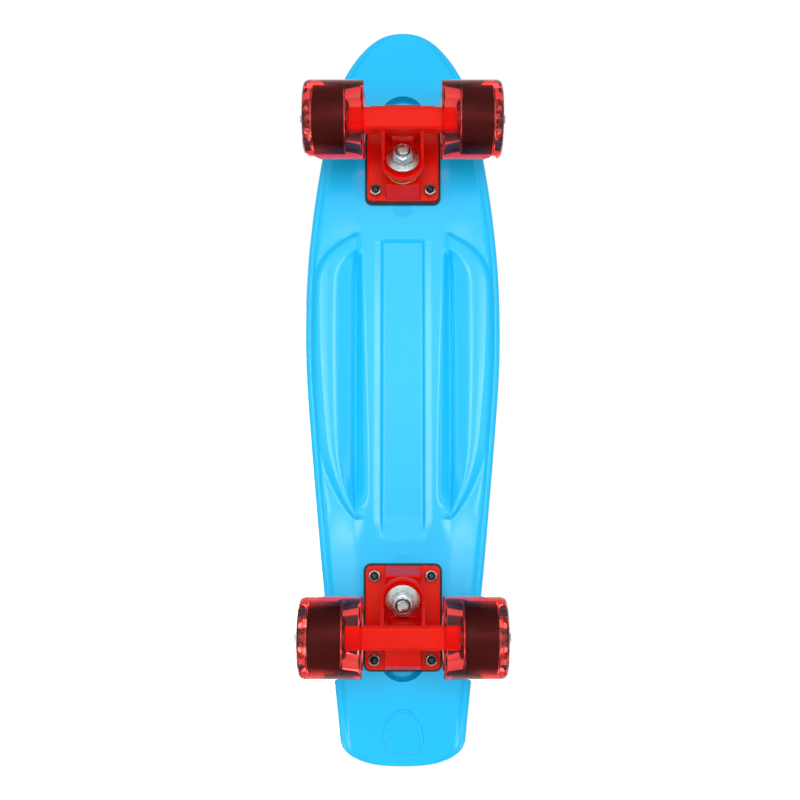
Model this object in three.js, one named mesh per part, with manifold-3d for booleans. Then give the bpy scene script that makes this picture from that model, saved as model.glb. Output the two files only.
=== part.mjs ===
// A small cruiser skateboard: a moulded plastic deck on two cast trucks with four soft wheels.
// Lengths are in millimetres. +X is across the board, +Y points to the nose and +Z is up.
// The origin is on the ground, below the middle of the deck's length.
import * as THREE from "three";
import { mergeVertices } from "three/addons/utils/BufferGeometryUtils.js";
import Module from "manifold-3d";

const wasm = await Module();
wasm.setup();

// Fits that many pieces share
const seatGap = 0.3;
const cutOverrun = 5;

// Deck: outline
const deckLength = 573;
const deckWidth = 150;
const outlineShares = [
  [0.0, 0.607],
  [0.109, 0.679],
  [0.233, 0.796],
  [0.351, 0.883],
  [0.447, 0.948],
  [0.52, 0.989],
  [0.585, 1.0],
  [0.652, 0.988],
  [0.718, 0.947],
  [0.786, 0.88],
  [0.881, 0.753],
  [1.0, 0.55],
];
const tailRoundLength = 20;
const tailRoundPower = 2;
const tailRoundRoot = 2.8;
const noseRoundLength = 68;
const noseRoundPower = 1.9;
const noseRoundRoot = 2.7;
const endCapShare = 0.985;
const endStationShares = [0.35, 0.6, 0.78, 0.9, 0.96, 1];

// Deck: thickness and kicks
const deckPadThickness = 11;
const deckFieldThickness = 8;
const deckSkin = 5.5;
const deckEndThickness = 8;
const deckRimThickness = 6;
const deckEdgeBand = 14;
const deckLedge = 5.5;
const rimRound = 3;
const rimBulgeShare = 0.3;
const tailKickLength = 78;
const tailKickBlend = 42;
const tailKickAngle = 20.5;
const noseKickLength = 68;
const noseKickBlend = 46;
const noseKickAngle = 11;

// Deck: moulded ribs underneath, their ends measured from the middles of the trucks
const platformFrontWidth = 63;
const platformFrontInset = 91;
const platformRearWidth = 48;
const platformRearInset = 94;
const platformFootWidth = 72;
const channelFloorWidth = 31.6;
const channelMouthWidth = 43;
const channelDepth = 3.8;
const channelFrontInset = 66.5;
const channelFrontSlope = 3;
const channelRearInset = 58.5;
const channelRearSlope = 14;
const padZoneFrontInset = 81;
const padZoneRearInset = 84;
const padZoneSlope = 34;
const ridgeFrontInset = 61;
const ridgeFrontRound = 43;
const ridgeFrontPower = 2.8;
const ridgeFrontRoot = 1.05;
const ridgeRearInset = 72.5;
const ridgeRearRound = 68;
const ridgeRearPower = 1.7;
const crestFrontInset = 74;
const crestFrontRound = 30;
const crestRearInset = 77;
const crestRearRound = 62;
const ridgeCrestThickness = 11.3;
const ridgeEdgeThickness = 10.3;
const ridgeEndFade = 10;
const valleyEndFade = 8;
const valleyEndDrop = 0.8;
const crestShare = 0.52;
const kneeShare = 0.26;
const kneeRiseShare = 0.45;
const ridgeEdgeShare = 0.68;
const spreadShares = [0.2, 0.4, 0.6, 0.8];
const ridgeEndStationShares = [0.35, 0.65, 0.85, 0.95];
const deckLineGap = 1;
const deckLineGapShare = 0.5;
const deckStationStep = 22;

// Trucks: their middles from the ends of the deck, their height and their axle's place
const frontTruckInset = 105.5;
const rearTruckInset = 112.5;
const truckHeight = 46;
const axleSetback = 11.8;

// Riser pads
const riserBorder = 1;
const riserThickness = 3;
const riserCornerRadius = 5;

// Baseplates
const baseplateWidth = 55;
const baseplateLength = 76;
const baseplateThickness = 5;
const baseplateCornerRadius = 4;
const boltInsetAcross = 6.5;
const boltInsetAlong = 7.5;
const spineWidth = 26;
const spineSaddleHeight = 1.5;
const spineSaddleLead = 5;
const bossTopInset = 7.5;
const bossOuterDrop = 2.5;
const bossOuterHeight = 9.7;
const bossOuterInset = 3.1;
const bossWall = 2.2;
const cornerSteps = 3;

// Kingpin stack, measured along the kingpin from the middle of the road-side washer
const kingpinTilt = 20;
const roadWasherSetback = -12.9;
const roadWasherDepth = 34.5;
const kingpinRadius = 4.75;
const kingpinTip = 11.5;
const kingpinTipChamfer = 0.9;
const kingpinHeadWidth = 14.3;
const kingpinHeadHeight = 6;
const kingpinNutWidth = 14.3;
const kingpinNutHeight = 8;
const kingpinNutCollar = 2.2;
const roadWasherRadius = 12.4;
const boardWasherRadius = 13;
const washerThickness = 2;
const washerDish = 0.7;
const washerDishShare = 0.72;
const roadBushingHeight = 4.4;
const roadBushingRadius = 10.8;
const boardBushingHeight = 4.6;
const boardBushingRadius = 11.2;
const bushingNoseRadius = 9.6;
const pedestalDepth = 6;

// Hangers
const hangerLength = 83;
const beamWidth = 17;
const beamBelowAxle = 6;
const beamAboveAxle = 8.5;
const beamChamfer = 1.8;
const yokeRingRadius = 15.75;
const yokeWall = 2.5;
const yokeThickness = 4;
const yokeRecess = 1.5;
const yokeHoleRadius = 7.6;
const yokeGussetStart = 3;
const yokeGussetDrop = 3;
const yokeBackWall = 5;
const pivotDistance = 36;
const pivotNoseRadius = 5.5;
const pivotNoseLength = 8.5;
const pivotNoseRound = 1.6;
const pivotNeckRadius = 7;
const pivotNeckLength = 10;
const pivotMouthGap = 1.8;
const armWidth = 17;
const armFrontInset = 1.5;

// Pivot cups
const cupWall = 1.8;
const cupFloor = 1.6;
const cupLip = 0.9;

// Steering
const steerAxisOffset = 0.5;

// Axles and their nuts
const axleRadius = 4;
const axleTipProud = 1.8;
const axleTipChamfer = 0.7;
const shoulderRadius = 6.2;
const spacerRadius = 5.6;
const axleNutWidth = 13;
const axleNutHeight = 6.2;
const axleNutCollar = 1.8;
const speedWasherRadius = 7.4;
const speedWasherThickness = 0.8;

// Wheels
const wheelRadius = 29;
const wheelWidth = 45;
const wheelSides = 28;
const wheelEdgeRound = 4;
const wheelInnerEdge = 0.8;
const wheelEdgeRoundShare = 0.3;
const tyreLip = 2;
const innerMouthRadius = 18.5;
const outerMouthRadius = 17.5;
const coreRadius = 17;
const coreLipRadius = 15.4;
const coreChamfer = 0.8;
const coreWaistRadius = 9;
const wheelOuterRecess = 6.5;
const coreSides = 16;

// Bearings
const bearingRadius = 11;
const bearingWidth = 7;
const bearingPairGap = 10;
const bearingRaceRadius = 9.4;
const bearingHubRadius = 6.2;
const shieldDepth = 0.5;
const runningGap = 0.3;
const roundSides = 12;
const washerSides = 18;

// Truck bolts and nuts
const boltRadius = 2.4;
const boltHeadRadius = 4.6;
const boltHeadHeight = 2.4;
const boltHeadSink = 0.2;
const boltTipChamfer = 0.5;
const boltTipProud = 0.6;
const truckNutWidth = 8;
const truckNutHeight = 5;
const truckNutCollar = 1.3;
const holeClearance = 0.4;
const boltSides = 8;

// Worked out from the sizes above
const axleHeight = wheelRadius * Math.cos(Math.PI / wheelSides);
const padLevel = axleHeight + truckHeight + riserThickness;
const deckTopLevel = padLevel + deckPadThickness;
const tailEnd = -deckLength / 2;
const noseEnd = deckLength / 2;
const frontTruckMiddle = noseEnd - frontTruckInset;
const rearTruckMiddle = tailEnd + rearTruckInset;
const channelFrontEnd = frontTruckMiddle - channelFrontInset;
const channelRearEnd = rearTruckMiddle + channelRearInset;
const padZoneFrontStart = frontTruckMiddle - padZoneFrontInset;
const padZoneRearStart = rearTruckMiddle + padZoneRearInset;
const ridgeFrontEnd = frontTruckMiddle - ridgeFrontInset;
const ridgeRearEnd = rearTruckMiddle + ridgeRearInset;
const crestFrontEnd = frontTruckMiddle - crestFrontInset;
const crestRearEnd = rearTruckMiddle + crestRearInset;
const boltHoleRadius = boltRadius + holeClearance;
const riserWidth = baseplateWidth + 2 * riserBorder;
const riserLength = baseplateLength + 2 * riserBorder;
const boltSpacingAcross = baseplateWidth - 2 * boltInsetAcross;
const boltSpacingAlong = baseplateLength - 2 * boltInsetAlong;
const baseplateTop = -riserThickness - seatGap;
const baseplateFace = baseplateTop - baseplateThickness;
const axleDepth = truckHeight + riserThickness;
const coreWidth = 2 * bearingWidth + bearingPairGap;
const wheelOuterFace = hangerLength / 2 + wheelWidthBeyondHanger();
const coreOuterFace = wheelOuterFace - wheelOuterRecess;
const coreInnerFace = coreOuterFace - coreWidth;
const wheelInnerFace = wheelOuterFace - wheelWidth;
const axleNutStart = coreOuterFace + seatGap;
const axleNutEnd = axleNutStart + speedWasherThickness + axleNutHeight;
const roadWasherFace = washerThickness / 2;
const yokeRim = roadWasherFace + seatGap + roadBushingHeight + seatGap - yokeRecess;
const yokeFloor = yokeRim + yokeRecess;
const yokeBack = yokeRim + yokeThickness;
const boardWasherStart = yokeBack + seatGap + boardBushingHeight + seatGap;
const pedestalSeat = boardWasherStart + washerThickness + seatGap;
const kingpinHeadStart = pedestalSeat + pedestalDepth;
const steerCentre = (yokeRim + yokeBack) / 2 + steerAxisOffset;

// How far the wheel's outer face stands beyond the hanger: shoulder, bearings and recess
function wheelWidthBeyondHanger() {
  return 2 * seatGap + speedWasherThickness + 2 * bearingWidth + bearingPairGap + wheelOuterRecess;
}

// Materials
const materials = {
  deck: new THREE.MeshStandardMaterial({ color: 0x2cb8ff, roughness: 0.22, metalness: 0 }),
  paint: new THREE.MeshStandardMaterial({ color: 0xd8140a, roughness: 0.28, metalness: 0.2 }),
  riser: new THREE.MeshStandardMaterial({ color: 0x0b0b10, roughness: 0.6, metalness: 0 }),
  bushing: new THREE.MeshStandardMaterial({ color: 0xe01a12, roughness: 0.35, metalness: 0 }),
  tyre: new THREE.MeshStandardMaterial({ color: 0xb51410, roughness: 0.15, metalness: 0 }),
  core: new THREE.MeshStandardMaterial({ color: 0x1a0c0a, roughness: 0.5, metalness: 0 }),
  steel: new THREE.MeshStandardMaterial({ color: 0xc9ccce, roughness: 0.3, metalness: 1 }),
  zinc: new THREE.MeshStandardMaterial({ color: 0xc8c060, roughness: 0.3, metalness: 1 }),
  cup: new THREE.MeshStandardMaterial({ color: 0x16161a, roughness: 0.6, metalness: 0 }),
};

// A closed geometry as a solid that can be joined and cut
function solidOf(geometry) {
  const bare = geometry.index ? geometry.toNonIndexed() : geometry.clone();
  bare.deleteAttribute("normal");
  bare.deleteAttribute("uv");
  const merged = mergeVertices(bare, 1e-4);
  return new wasm.Manifold(
    new wasm.Mesh({
      numProp: 3,
      vertProperties: merged.attributes.position.array,
      triVerts: new Uint32Array(merged.index.array),
    }),
  );
}

// A solid back as a geometry
function geometryOf(solid) {
  const mesh = solid.getMesh();
  const position = new Float32Array(mesh.numVert * 3);
  for (let i = 0; i < mesh.numVert; i++) {
    position.set(mesh.vertProperties.subarray(i * mesh.numProp, i * mesh.numProp + 3), i * 3);
  }
  const geometry = new THREE.BufferGeometry();
  geometry.setAttribute("position", new THREE.BufferAttribute(position, 3));
  geometry.setIndex(new THREE.BufferAttribute(mesh.triVerts, 1));
  const flat = geometry.toNonIndexed();
  flat.computeVertexNormals();
  return flat;
}

function joined(...geometries) {
  return geometryOf(geometries.map(solidOf).reduce((whole, next) => whole.add(next)));
}

function cut(geometry, ...tools) {
  return geometryOf(tools.map(solidOf).reduce((rest, tool) => rest.subtract(tool), solidOf(geometry)));
}

// A profile of [radius, height] pairs turned about Z: up the outside, then down the inside
function turned(profile, sides, phase = 0) {
  const points = profile.map(([radius, height]) => new THREE.Vector2(radius, height));
  return new THREE.LatheGeometry(points, sides, phase).rotateX(Math.PI / 2);
}

// The same, for a ring whose profile closes on itself
function turnedRing(profile, sides, phase = 0) {
  return turned([...profile, profile[0]], sides, phase);
}

// A solid round bar from one height to another
function bar(radius, from, to, sides = roundSides, phase = 0) {
  return turned([[0, from], [radius, from], [radius, to], [0, to]], sides, phase);
}

// A flat outline in X and Y, extruded upwards between two heights
function slab(shape, from, to, steps = cornerSteps) {
  const depth = to - from;
  const options = { depth, bevelEnabled: false, curveSegments: steps };
  return new THREE.ExtrudeGeometry(shape, options).translate(0, 0, from);
}

// An outline in Y and Z, as [along, height] pairs, extruded across X about the middle
function crossBlock(outline, width, middle = 0) {
  const shape = new THREE.Shape(outline.map(([along, height]) => new THREE.Vector2(along, height)));
  const block = new THREE.ExtrudeGeometry(shape, { depth: width, bevelEnabled: false });
  const turn = new THREE.Matrix4().makeBasis(
    new THREE.Vector3(0, 1, 0),
    new THREE.Vector3(0, 0, 1),
    new THREE.Vector3(1, 0, 0),
  );
  return block.applyMatrix4(turn).translate(middle - width / 2, 0, 0);
}

function roundedRectangle(width, length, radius) {
  const shape = new THREE.Shape();
  const x = width / 2 - radius;
  const y = length / 2 - radius;
  const quarter = Math.PI / 2;
  shape.absarc(x, -y, radius, -quarter, 0, false);
  shape.absarc(x, y, radius, 0, quarter, false);
  shape.absarc(-x, y, radius, quarter, 2 * quarter, false);
  shape.absarc(-x, -y, radius, 2 * quarter, 3 * quarter, false);
  return shape;
}

// The radius to the corners of a hexagon of this width across its flats
function hexRadius(width) {
  return width / 2 / Math.cos(Math.PI / 6);
}

// A smooth curve through [position, value] pairs
function along(table, position) {
  let i = 0;
  while (i < table.length - 2 && position > table[i + 1][0]) i++;
  const [a, b] = [table[i], table[i + 1]];
  const [before, after] = [table[i - 1] ?? a, table[i + 2] ?? b];
  const span = b[0] - a[0];
  const slopeA = (b[1] - before[1]) / (b[0] - before[0]);
  const slopeB = (after[1] - a[1]) / (after[0] - a[0]);
  const t = (position - a[0]) / span;
  const t2 = t * t;
  const t3 = t2 * t;
  const ends = a[1] * (2 * t3 - 3 * t2 + 1) + b[1] * (3 * t2 - 2 * t3);
  return ends + span * (slopeA * (t3 - 2 * t2 + t) + slopeB * (t3 - t2));
}

const smoothstep = THREE.MathUtils.smoothstep;

// How full an end round is, from 1 where it starts to 0 at its tip
function roundEnd(into, length, power, root) {
  const share = THREE.MathUtils.clamp(into / length, 0, 1);
  return Math.pow(1 - Math.pow(share, power), 1 / root);
}

function deckHalfWidth(y) {
  const body = (deckWidth / 2) * along(outlineShares, (y - tailEnd) / deckLength);
  const intoTail = (tailEnd + tailRoundLength - y) * endCapShare;
  const intoNose = (y - noseEnd + noseRoundLength) * endCapShare;
  const tail = roundEnd(intoTail, tailRoundLength, tailRoundPower, tailRoundRoot);
  const nose = roundEnd(intoNose, noseRoundLength, noseRoundPower, noseRoundRoot);
  return body * tail * nose;
}

// The rise of an upturned end: level, an arc-like blend, then a straight slope
function kickRise(into, blend, angle) {
  const slope = Math.tan(THREE.MathUtils.degToRad(angle));
  if (into <= 0) return 0;
  return into < blend ? (slope * into * into) / (2 * blend) : slope * (into - blend / 2);
}

function deckTop(y) {
  const tail = kickRise(tailEnd + tailKickLength - y, tailKickBlend, tailKickAngle);
  const nose = kickRise(y - noseEnd + noseKickLength, noseKickBlend, noseKickAngle);
  return deckTopLevel + tail + nose;
}

// A ridge line beside the platform, from its width in the middle to nothing at both ends
function ridgeLine(y, share, frontEnd, frontRound, rearEnd, rearRound) {
  const inner = platformFootWidth / 2;
  const full = (deckHalfWidth(y) - deckLedge - inner) * share;
  const front = roundEnd(y - frontEnd + frontRound, frontRound, ridgeFrontPower, ridgeFrontRoot);
  const rear = roundEnd(rearEnd + rearRound - y, rearRound, ridgeRearPower, ridgeRearPower);
  return inner + full * front * rear;
}

// Where the ridge meets the field along the rim
function ridgeFoot(y) {
  return ridgeLine(y, 1, ridgeFrontEnd, ridgeFrontRound, ridgeRearEnd, ridgeRearRound);
}

// Where the ridge is highest
function ridgeCrest(y) {
  return ridgeLine(y, crestShare, crestFrontEnd, crestFrontRound, crestRearEnd, crestRearRound);
}

// The value at x of a line through [x, value] pairs
function lineAt(line, x) {
  let i = 0;
  while (i < line.length - 2 && x > line[i + 1][0]) i++;
  const [a, b] = [line[i], line[i + 1]];
  const share = THREE.MathUtils.clamp((x - a[0]) / Math.max(b[0] - a[0], Number.EPSILON), 0, 1);
  return a[1] + (b[1] - a[1]) * share;
}

// How far a place is into the thick pads over the trucks, from 0 between them to 1
function padShare(y) {
  const front = smoothstep(y, padZoneFrontStart, padZoneFrontStart + padZoneSlope);
  const rear = 1 - smoothstep(y, padZoneRearStart - padZoneSlope, padZoneRearStart);
  return Math.max(front, rear);
}

// The platform's edge, further in towards the tail, and wide again over the trucks
function platformEdge(y) {
  const front = frontTruckMiddle - platformFrontInset;
  const rear = rearTruckMiddle + platformRearInset;
  const wide = platformFrontWidth / 2;
  const edge = lineAt([[rear, platformRearWidth / 2], [front, wide]], y);
  return edge + (wide - edge) * padShare(y);
}

// The ribs between the trucks as [x, thickness] pairs from the middle to the rim
function ribs(y) {
  const inner = platformFootWidth / 2;
  const foot = ridgeFoot(y);
  const crest = ridgeCrest(y);
  const channelFront = 1 - smoothstep(y, channelFrontEnd - channelFrontSlope, channelFrontEnd);
  const channelRear = smoothstep(y, channelRearEnd, channelRearEnd + channelRearSlope);
  const floor = deckPadThickness - channelDepth * channelFront * channelRear;
  const closing = 1 - smoothstep(crest - inner, 0, valleyEndFade);
  const valley = deckSkin + (ridgeCrestThickness - valleyEndDrop - deckSkin) * closing;
  const knee = valley + (ridgeCrestThickness - valley) * kneeRiseShare;
  const rise = smoothstep(foot - inner, 0, ridgeEndFade);
  const raised = (thickness) => deckFieldThickness + (thickness - deckFieldThickness) * rise;
  const ledge = Math.max(foot, deckHalfWidth(y) - deckLedge);
  const lines = [inner + kneeShare * (crest - inner), crest, crest + ridgeEdgeShare * (foot - crest), foot];
  const level = [knee, ridgeCrestThickness, ridgeEdgeThickness, deckFieldThickness];
  const ridge = lines.map((x, i) => {
    const spreadPlace = inner + (ledge - inner) * spreadShares[i];
    return [spreadPlace + (x - spreadPlace) * rise, raised(level[i])];
  });
  return [
    [0, floor],
    [channelFloorWidth / 2, floor],
    [channelMouthWidth / 2, deckPadThickness],
    [platformEdge(y), deckPadThickness],
    [inner, raised(valley)],
    ...ridge,
    [ledge, deckFieldThickness],
  ];
}

// The deck's thickness at one place: its ribs, the pads over the trucks and the thinner rim
function deckThickness(x, y) {
  const side = Math.abs(x);
  const intoNose = smoothstep(y, noseEnd - noseKickLength, noseEnd);
  const intoTail = 1 - smoothstep(y, tailEnd, tailEnd + tailKickLength);
  const middle = deckPadThickness + (deckEndThickness - deckPadThickness) * (intoNose + intoTail);
  const half = deckHalfWidth(y);
  const flank = smoothstep(side, platformFrontWidth / 2, half - deckLedge);
  const pad = middle + (deckFieldThickness - middle) * flank;
  const ribbed = lineAt(ribs(y), side);
  const inner = ribbed + (pad - ribbed) * padShare(y);
  const band = deckLedge + (deckEdgeBand - deckLedge) * padShare(y);
  return inner + (deckRimThickness - inner) * smoothstep(side, half - band, half - rimRound);
}

// The deck's section at one place along it, as a closed loop of [x, z] pairs
function deckSection(y) {
  const half = deckHalfWidth(y);
  const edge = half - Math.min(rimRound, half / 2);
  const places = [...ribs(y).map(([x]) => x), edge];
  const last = places.length - 1;
  const gap = Math.min(deckLineGap, (edge / last) * deckLineGapShare);
  for (let i = 1; i < last; i++) places[i] = Math.max(places[i], places[i - 1] + gap);
  for (let i = last - 1; i > 0; i--) places[i] = Math.min(places[i], places[i + 1] - gap);
  const top = deckTop(y);
  const under = (x) => top - deckThickness(x, y);
  const bulge = half - rimRound * rimBulgeShare;
  const low = under(edge);
  const rimSide = [
    [bulge, low + (top - low) * (rimBulgeShare / 2)],
    [half, (top + low) / 2],
    [bulge, top - (top - low) * (rimBulgeShare / 2)],
  ];
  const bottomHalf = places.map((x) => [x, under(x)]);
  const topHalf = [[edge, top], [0, top]];
  const right = [...bottomHalf, ...rimSide, ...topHalf];
  const left = right.slice(1, -1).map(([x, z]) => [-x, z]).reverse();
  return [...right, ...left];
}

// The places along the deck that get a section, from tail to nose
function deckStations() {
  const tailRound = endStationShares.map((share) => tailEnd + tailRoundLength * (1 - share)).reverse();
  const noseRound = endStationShares.map((share) => noseEnd - noseRoundLength * (1 - share));
  const marks = [
    tailEnd + tailRoundLength,
    tailEnd + tailKickLength,
    padZoneRearStart - padZoneSlope,
    channelRearEnd,
    ridgeRearEnd,
    crestRearEnd,
    padZoneRearStart,
    crestFrontEnd,
    channelFrontEnd - channelFrontSlope,
    channelFrontEnd,
    ridgeFrontEnd,
    padZoneFrontStart + padZoneSlope,
    noseEnd - noseRoundLength,
  ];
  const between = marks.slice(0, -1).flatMap((from, i) => {
    const to = marks[i + 1];
    const steps = Math.max(1, Math.round((to - from) / deckStationStep));
    return Array.from({ length: steps }, (_, k) => from + ((to - from) * k) / steps);
  });
  const ridgeEnds = ridgeEndStationShares.flatMap((share) => [
    ridgeFrontEnd - ridgeFrontRound * (1 - share),
    ridgeRearEnd + ridgeRearRound * (1 - share),
  ]);
  const all = [...tailRound, ...between, ...ridgeEnds, marks.at(-1), ...noseRound].sort((a, b) => a - b);
  return all.filter((y, i) => i === 0 || y - all[i - 1] > seatGap);
}

// A closed solid lofted through the sections, with flat ends
function loft(sections) {
  const count = sections[0].length;
  const position = sections.flat(2);
  const index = [];
  for (let s = 0; s < sections.length - 1; s++) {
    for (let i = 0; i < count; i++) {
      const a = s * count + i;
      const b = s * count + ((i + 1) % count);
      index.push(a, a + count, b, b, a + count, b + count);
    }
  }
  const lastStart = (sections.length - 1) * count;
  const flatEnd = sections[0].map(([x, , z]) => new THREE.Vector2(x, z));
  THREE.ShapeUtils.triangulateShape(flatEnd, []).forEach(([a, b, c]) => index.push(a, b, c));
  const noseFlat = sections.at(-1).map(([x, , z]) => new THREE.Vector2(x, z));
  THREE.ShapeUtils.triangulateShape(noseFlat, []).forEach(([a, b, c]) => {
    index.push(lastStart + a, lastStart + c, lastStart + b);
  });
  const geometry = new THREE.BufferGeometry();
  geometry.setAttribute("position", new THREE.Float32BufferAttribute(position, 3));
  geometry.setIndex(index);
  return geometry;
}

// The eight bolt places in the board's frame
function boltPlaces() {
  const front = boltPattern().map(([x, y]) => [x, frontTruckMiddle + y]);
  const rear = boltPattern().map(([x, y]) => [-x, rearTruckMiddle - y]);
  return [...front, ...rear];
}

// One truck's bolt places about its baseplate's middle, inner pair first
function boltPattern() {
  const x = boltSpacingAcross / 2;
  const y = boltSpacingAlong / 2;
  return [[-x, -y], [x, -y], [-x, y], [x, y]];
}

function makeDeck() {
  const sections = deckStations().map((y) => deckSection(y).map(([x, z]) => [x, y, z]));
  const holes = boltPlaces().map(([x, y]) => {
    const headDepth = boltHeadHeight + boltHeadSink;
    const mouth = boltHeadRadius + holeClearance;
    const profile = [
      [0, padLevel - cutOverrun],
      [boltHoleRadius, padLevel - cutOverrun],
      [boltHoleRadius, deckTopLevel - headDepth],
      [mouth, deckTopLevel],
      [mouth, deckTopLevel + cutOverrun],
      [0, deckTopLevel + cutOverrun],
    ];
    return turned(profile, boltSides).translate(x, y, 0);
  });
  return cut(loft(sections), ...holes);
}

function makeTruckBolt() {
  const top = deckPadThickness - boltHeadSink;
  const tip = baseplateFace - seatGap - truckNutHeight - boltTipProud;
  const profile = [
    [0, tip],
    [boltRadius - boltTipChamfer, tip],
    [boltRadius, tip + boltTipChamfer],
    [boltRadius, top - boltHeadHeight],
    [boltHeadRadius, top],
    [0, top],
  ];
  return turned(profile, boltSides);
}

// A self-locking hexagon nut whose collar points down, standing under the given height
function lockNut(width, height, collar, boreRadius, sides, top) {
  const corner = hexRadius(width);
  const neck = (width / 2 + boreRadius) / 2;
  const collarTop = top - height + collar / 2;
  const body = bar(neck, top - height, collarTop, sides);
  const hexagon = bar(corner, collarTop, top, 6, Math.PI / 6);
  const bore = bar(boreRadius, top - height - cutOverrun, top + cutOverrun, sides);
  return cut(joined(body, hexagon), bore);
}

function makeTruckNut() {
  const boreRadius = boltRadius + seatGap;
  const top = baseplateFace - seatGap;
  return lockNut(truckNutWidth, truckNutHeight, truckNutCollar, boreRadius, boltSides, top);
}

function makeRiserPad() {
  const pad = slab(roundedRectangle(riserWidth, riserLength, riserCornerRadius), -riserThickness, -seatGap);
  const holes = boltPattern().map(([x, y]) =>
    bar(boltHoleRadius, -riserThickness - cutOverrun, cutOverrun, boltSides).translate(x, y, 0),
  );
  return cut(pad, ...holes);
}

// The kingpin's frame in the truck: origin at the road-side washer, +Z towards the board
const kingpinTiltAngle = THREE.MathUtils.degToRad(kingpinTilt);
const kingpinFrame = new THREE.Matrix4()
  .makeRotationX(kingpinTiltAngle)
  .setPosition(0, roadWasherSetback, -roadWasherDepth);

// A place [along, height] in the truck from one in the kingpin's frame
function fromKingpin(outward, boardward) {
  const place = new THREE.Vector3(0, outward, boardward).applyMatrix4(kingpinFrame);
  return [place.y, place.z];
}

// The steering axis runs through the yoke's ring, square to the kingpin, to the pivot
const pivotFrame = new THREE.Matrix4()
  .makeTranslation(0, 0, steerCentre)
  .premultiply(kingpinFrame)
  .multiply(new THREE.Matrix4().makeRotationX(-Math.PI / 2));

function baseplateSpine() {
  const seatRadius = boardWasherRadius + seatGap;
  const half = baseplateLength / 2;
  const saddle = baseplateFace - spineSaddleHeight;
  const seatInner = fromKingpin(-seatRadius, pedestalSeat);
  const seatOuter = fromKingpin(seatRadius, pedestalSeat);
  const reach = pivotNoseRadius + seatGap + cupWall + seatGap + bossWall;
  const mouthBoard = fromKingpin(pivotDistance, steerCentre + pivotNoseRadius);
  const mouthRoad = fromKingpin(pivotDistance, steerCentre - reach);
  return crossBlock(
    [
      [-half + seatGap, baseplateTop - seatGap],
      [-half + seatGap, baseplateFace],
      seatInner,
      seatOuter,
      [(seatOuter[0] + mouthBoard[0]) / 2 - spineSaddleLead, saddle],
      [mouthBoard[0] - seatGap, saddle],
      mouthBoard,
      mouthRoad,
      [mouthRoad[0] + bossTopInset, mouthRoad[1] + bossOuterDrop],
      [half - bossOuterInset, baseplateFace - bossOuterHeight],
      [half - seatGap, baseplateFace - seatGap],
      [half - seatGap, baseplateTop - seatGap],
    ].reverse(),
    spineWidth,
  );
}

function makeBaseplate() {
  const plate = slab(
    roundedRectangle(baseplateWidth, baseplateLength, baseplateCornerRadius),
    baseplateFace,
    baseplateTop,
  );
  const holes = boltPattern().map(([x, y]) =>
    bar(boltHoleRadius, baseplateFace - cutOverrun, cutOverrun, boltSides).translate(x, y, 0),
  );
  const kingpinHole = bar(kingpinRadius + seatGap, 0, kingpinHeadStart + cutOverrun);
  const headRadius = hexRadius(kingpinHeadWidth) + seatGap;
  const headRoom = bar(headRadius, kingpinHeadStart - seatGap, 2 * roadWasherDepth);
  const cupRoom = bar(
    pivotNoseRadius + 2 * seatGap + cupWall,
    pivotDistance - cutOverrun,
    pivotDistance + pivotNoseLength + cupFloor + 2 * seatGap,
  );
  return cut(
    joined(plate, baseplateSpine()),
    ...holes,
    kingpinHole.applyMatrix4(kingpinFrame),
    headRoom.applyMatrix4(kingpinFrame),
    cupRoom.applyMatrix4(pivotFrame),
  );
}

// The cup that the hanger's nose turns in, in the pivot's frame
function makePivotCup() {
  const inner = pivotNoseRadius + seatGap;
  const outer = inner + cupWall;
  const mouth = pivotDistance;
  const floor = pivotDistance + pivotNoseLength + seatGap;
  const profile = [
    [inner, mouth],
    [outer - cupLip, mouth],
    [outer, mouth + cupLip],
    [outer, floor + cupFloor],
    [0, floor + cupFloor],
  ];
  return turned([[0, floor], [inner, floor], ...profile], roundSides);
}

function makeKingpin() {
  const shaft = turned(
    [
      [0, -kingpinTip],
      [kingpinRadius - kingpinTipChamfer, -kingpinTip],
      [kingpinRadius, -kingpinTip + kingpinTipChamfer],
      [kingpinRadius, kingpinHeadStart + kingpinHeadHeight / 2],
      [0, kingpinHeadStart + kingpinHeadHeight / 2],
    ],
    roundSides,
  );
  const headEnd = kingpinHeadStart + kingpinHeadHeight;
  const head = bar(hexRadius(kingpinHeadWidth), kingpinHeadStart, headEnd, 6, Math.PI / 6);
  return joined(shaft, head);
}

function makeKingpinNut() {
  const boreRadius = kingpinRadius + seatGap;
  const top = -roadWasherFace - seatGap;
  return lockNut(kingpinNutWidth, kingpinNutHeight, kingpinNutCollar, boreRadius, roundSides, top);
}

// A dished washer between two heights, its rim turned towards the bushing
function dishedWasher(radius, from, dish) {
  const hole = kingpinRadius + seatGap;
  const to = from + washerThickness;
  const flat = radius * washerDishShare;
  const lower = dish > 0 ? 0 : -dish;
  const upper = dish > 0 ? dish : 0;
  return turnedRing(
    [
      [hole, from],
      [flat, from],
      [radius, from + upper],
      [radius, to - lower],
      [flat, to - Math.max(lower, upper)],
      [hole, to - Math.max(lower, upper)],
    ],
    washerSides,
  );
}

function makeRoadWasher() {
  return dishedWasher(roadWasherRadius, -roadWasherFace, washerDish);
}

function makeBoardWasher() {
  const washer = dishedWasher(boardWasherRadius, 0, washerDish);
  return washer.rotateX(Math.PI).translate(0, 0, boardWasherStart + washerThickness);
}

// A conical bushing, wider at its washer and narrower at the yoke
function bushing(washerRadius, washerEnd, yokeEnd) {
  const hole = kingpinRadius + seatGap;
  const outline = [
    [hole, washerEnd],
    [washerRadius, washerEnd],
    [bushingNoseRadius, yokeEnd],
    [hole, yokeEnd],
  ];
  return turnedRing(washerEnd < yokeEnd ? outline : outline.reverse(), roundSides);
}

function makeRoadBushing() {
  const start = roadWasherFace + seatGap;
  return bushing(roadBushingRadius, start, start + roadBushingHeight);
}

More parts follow.
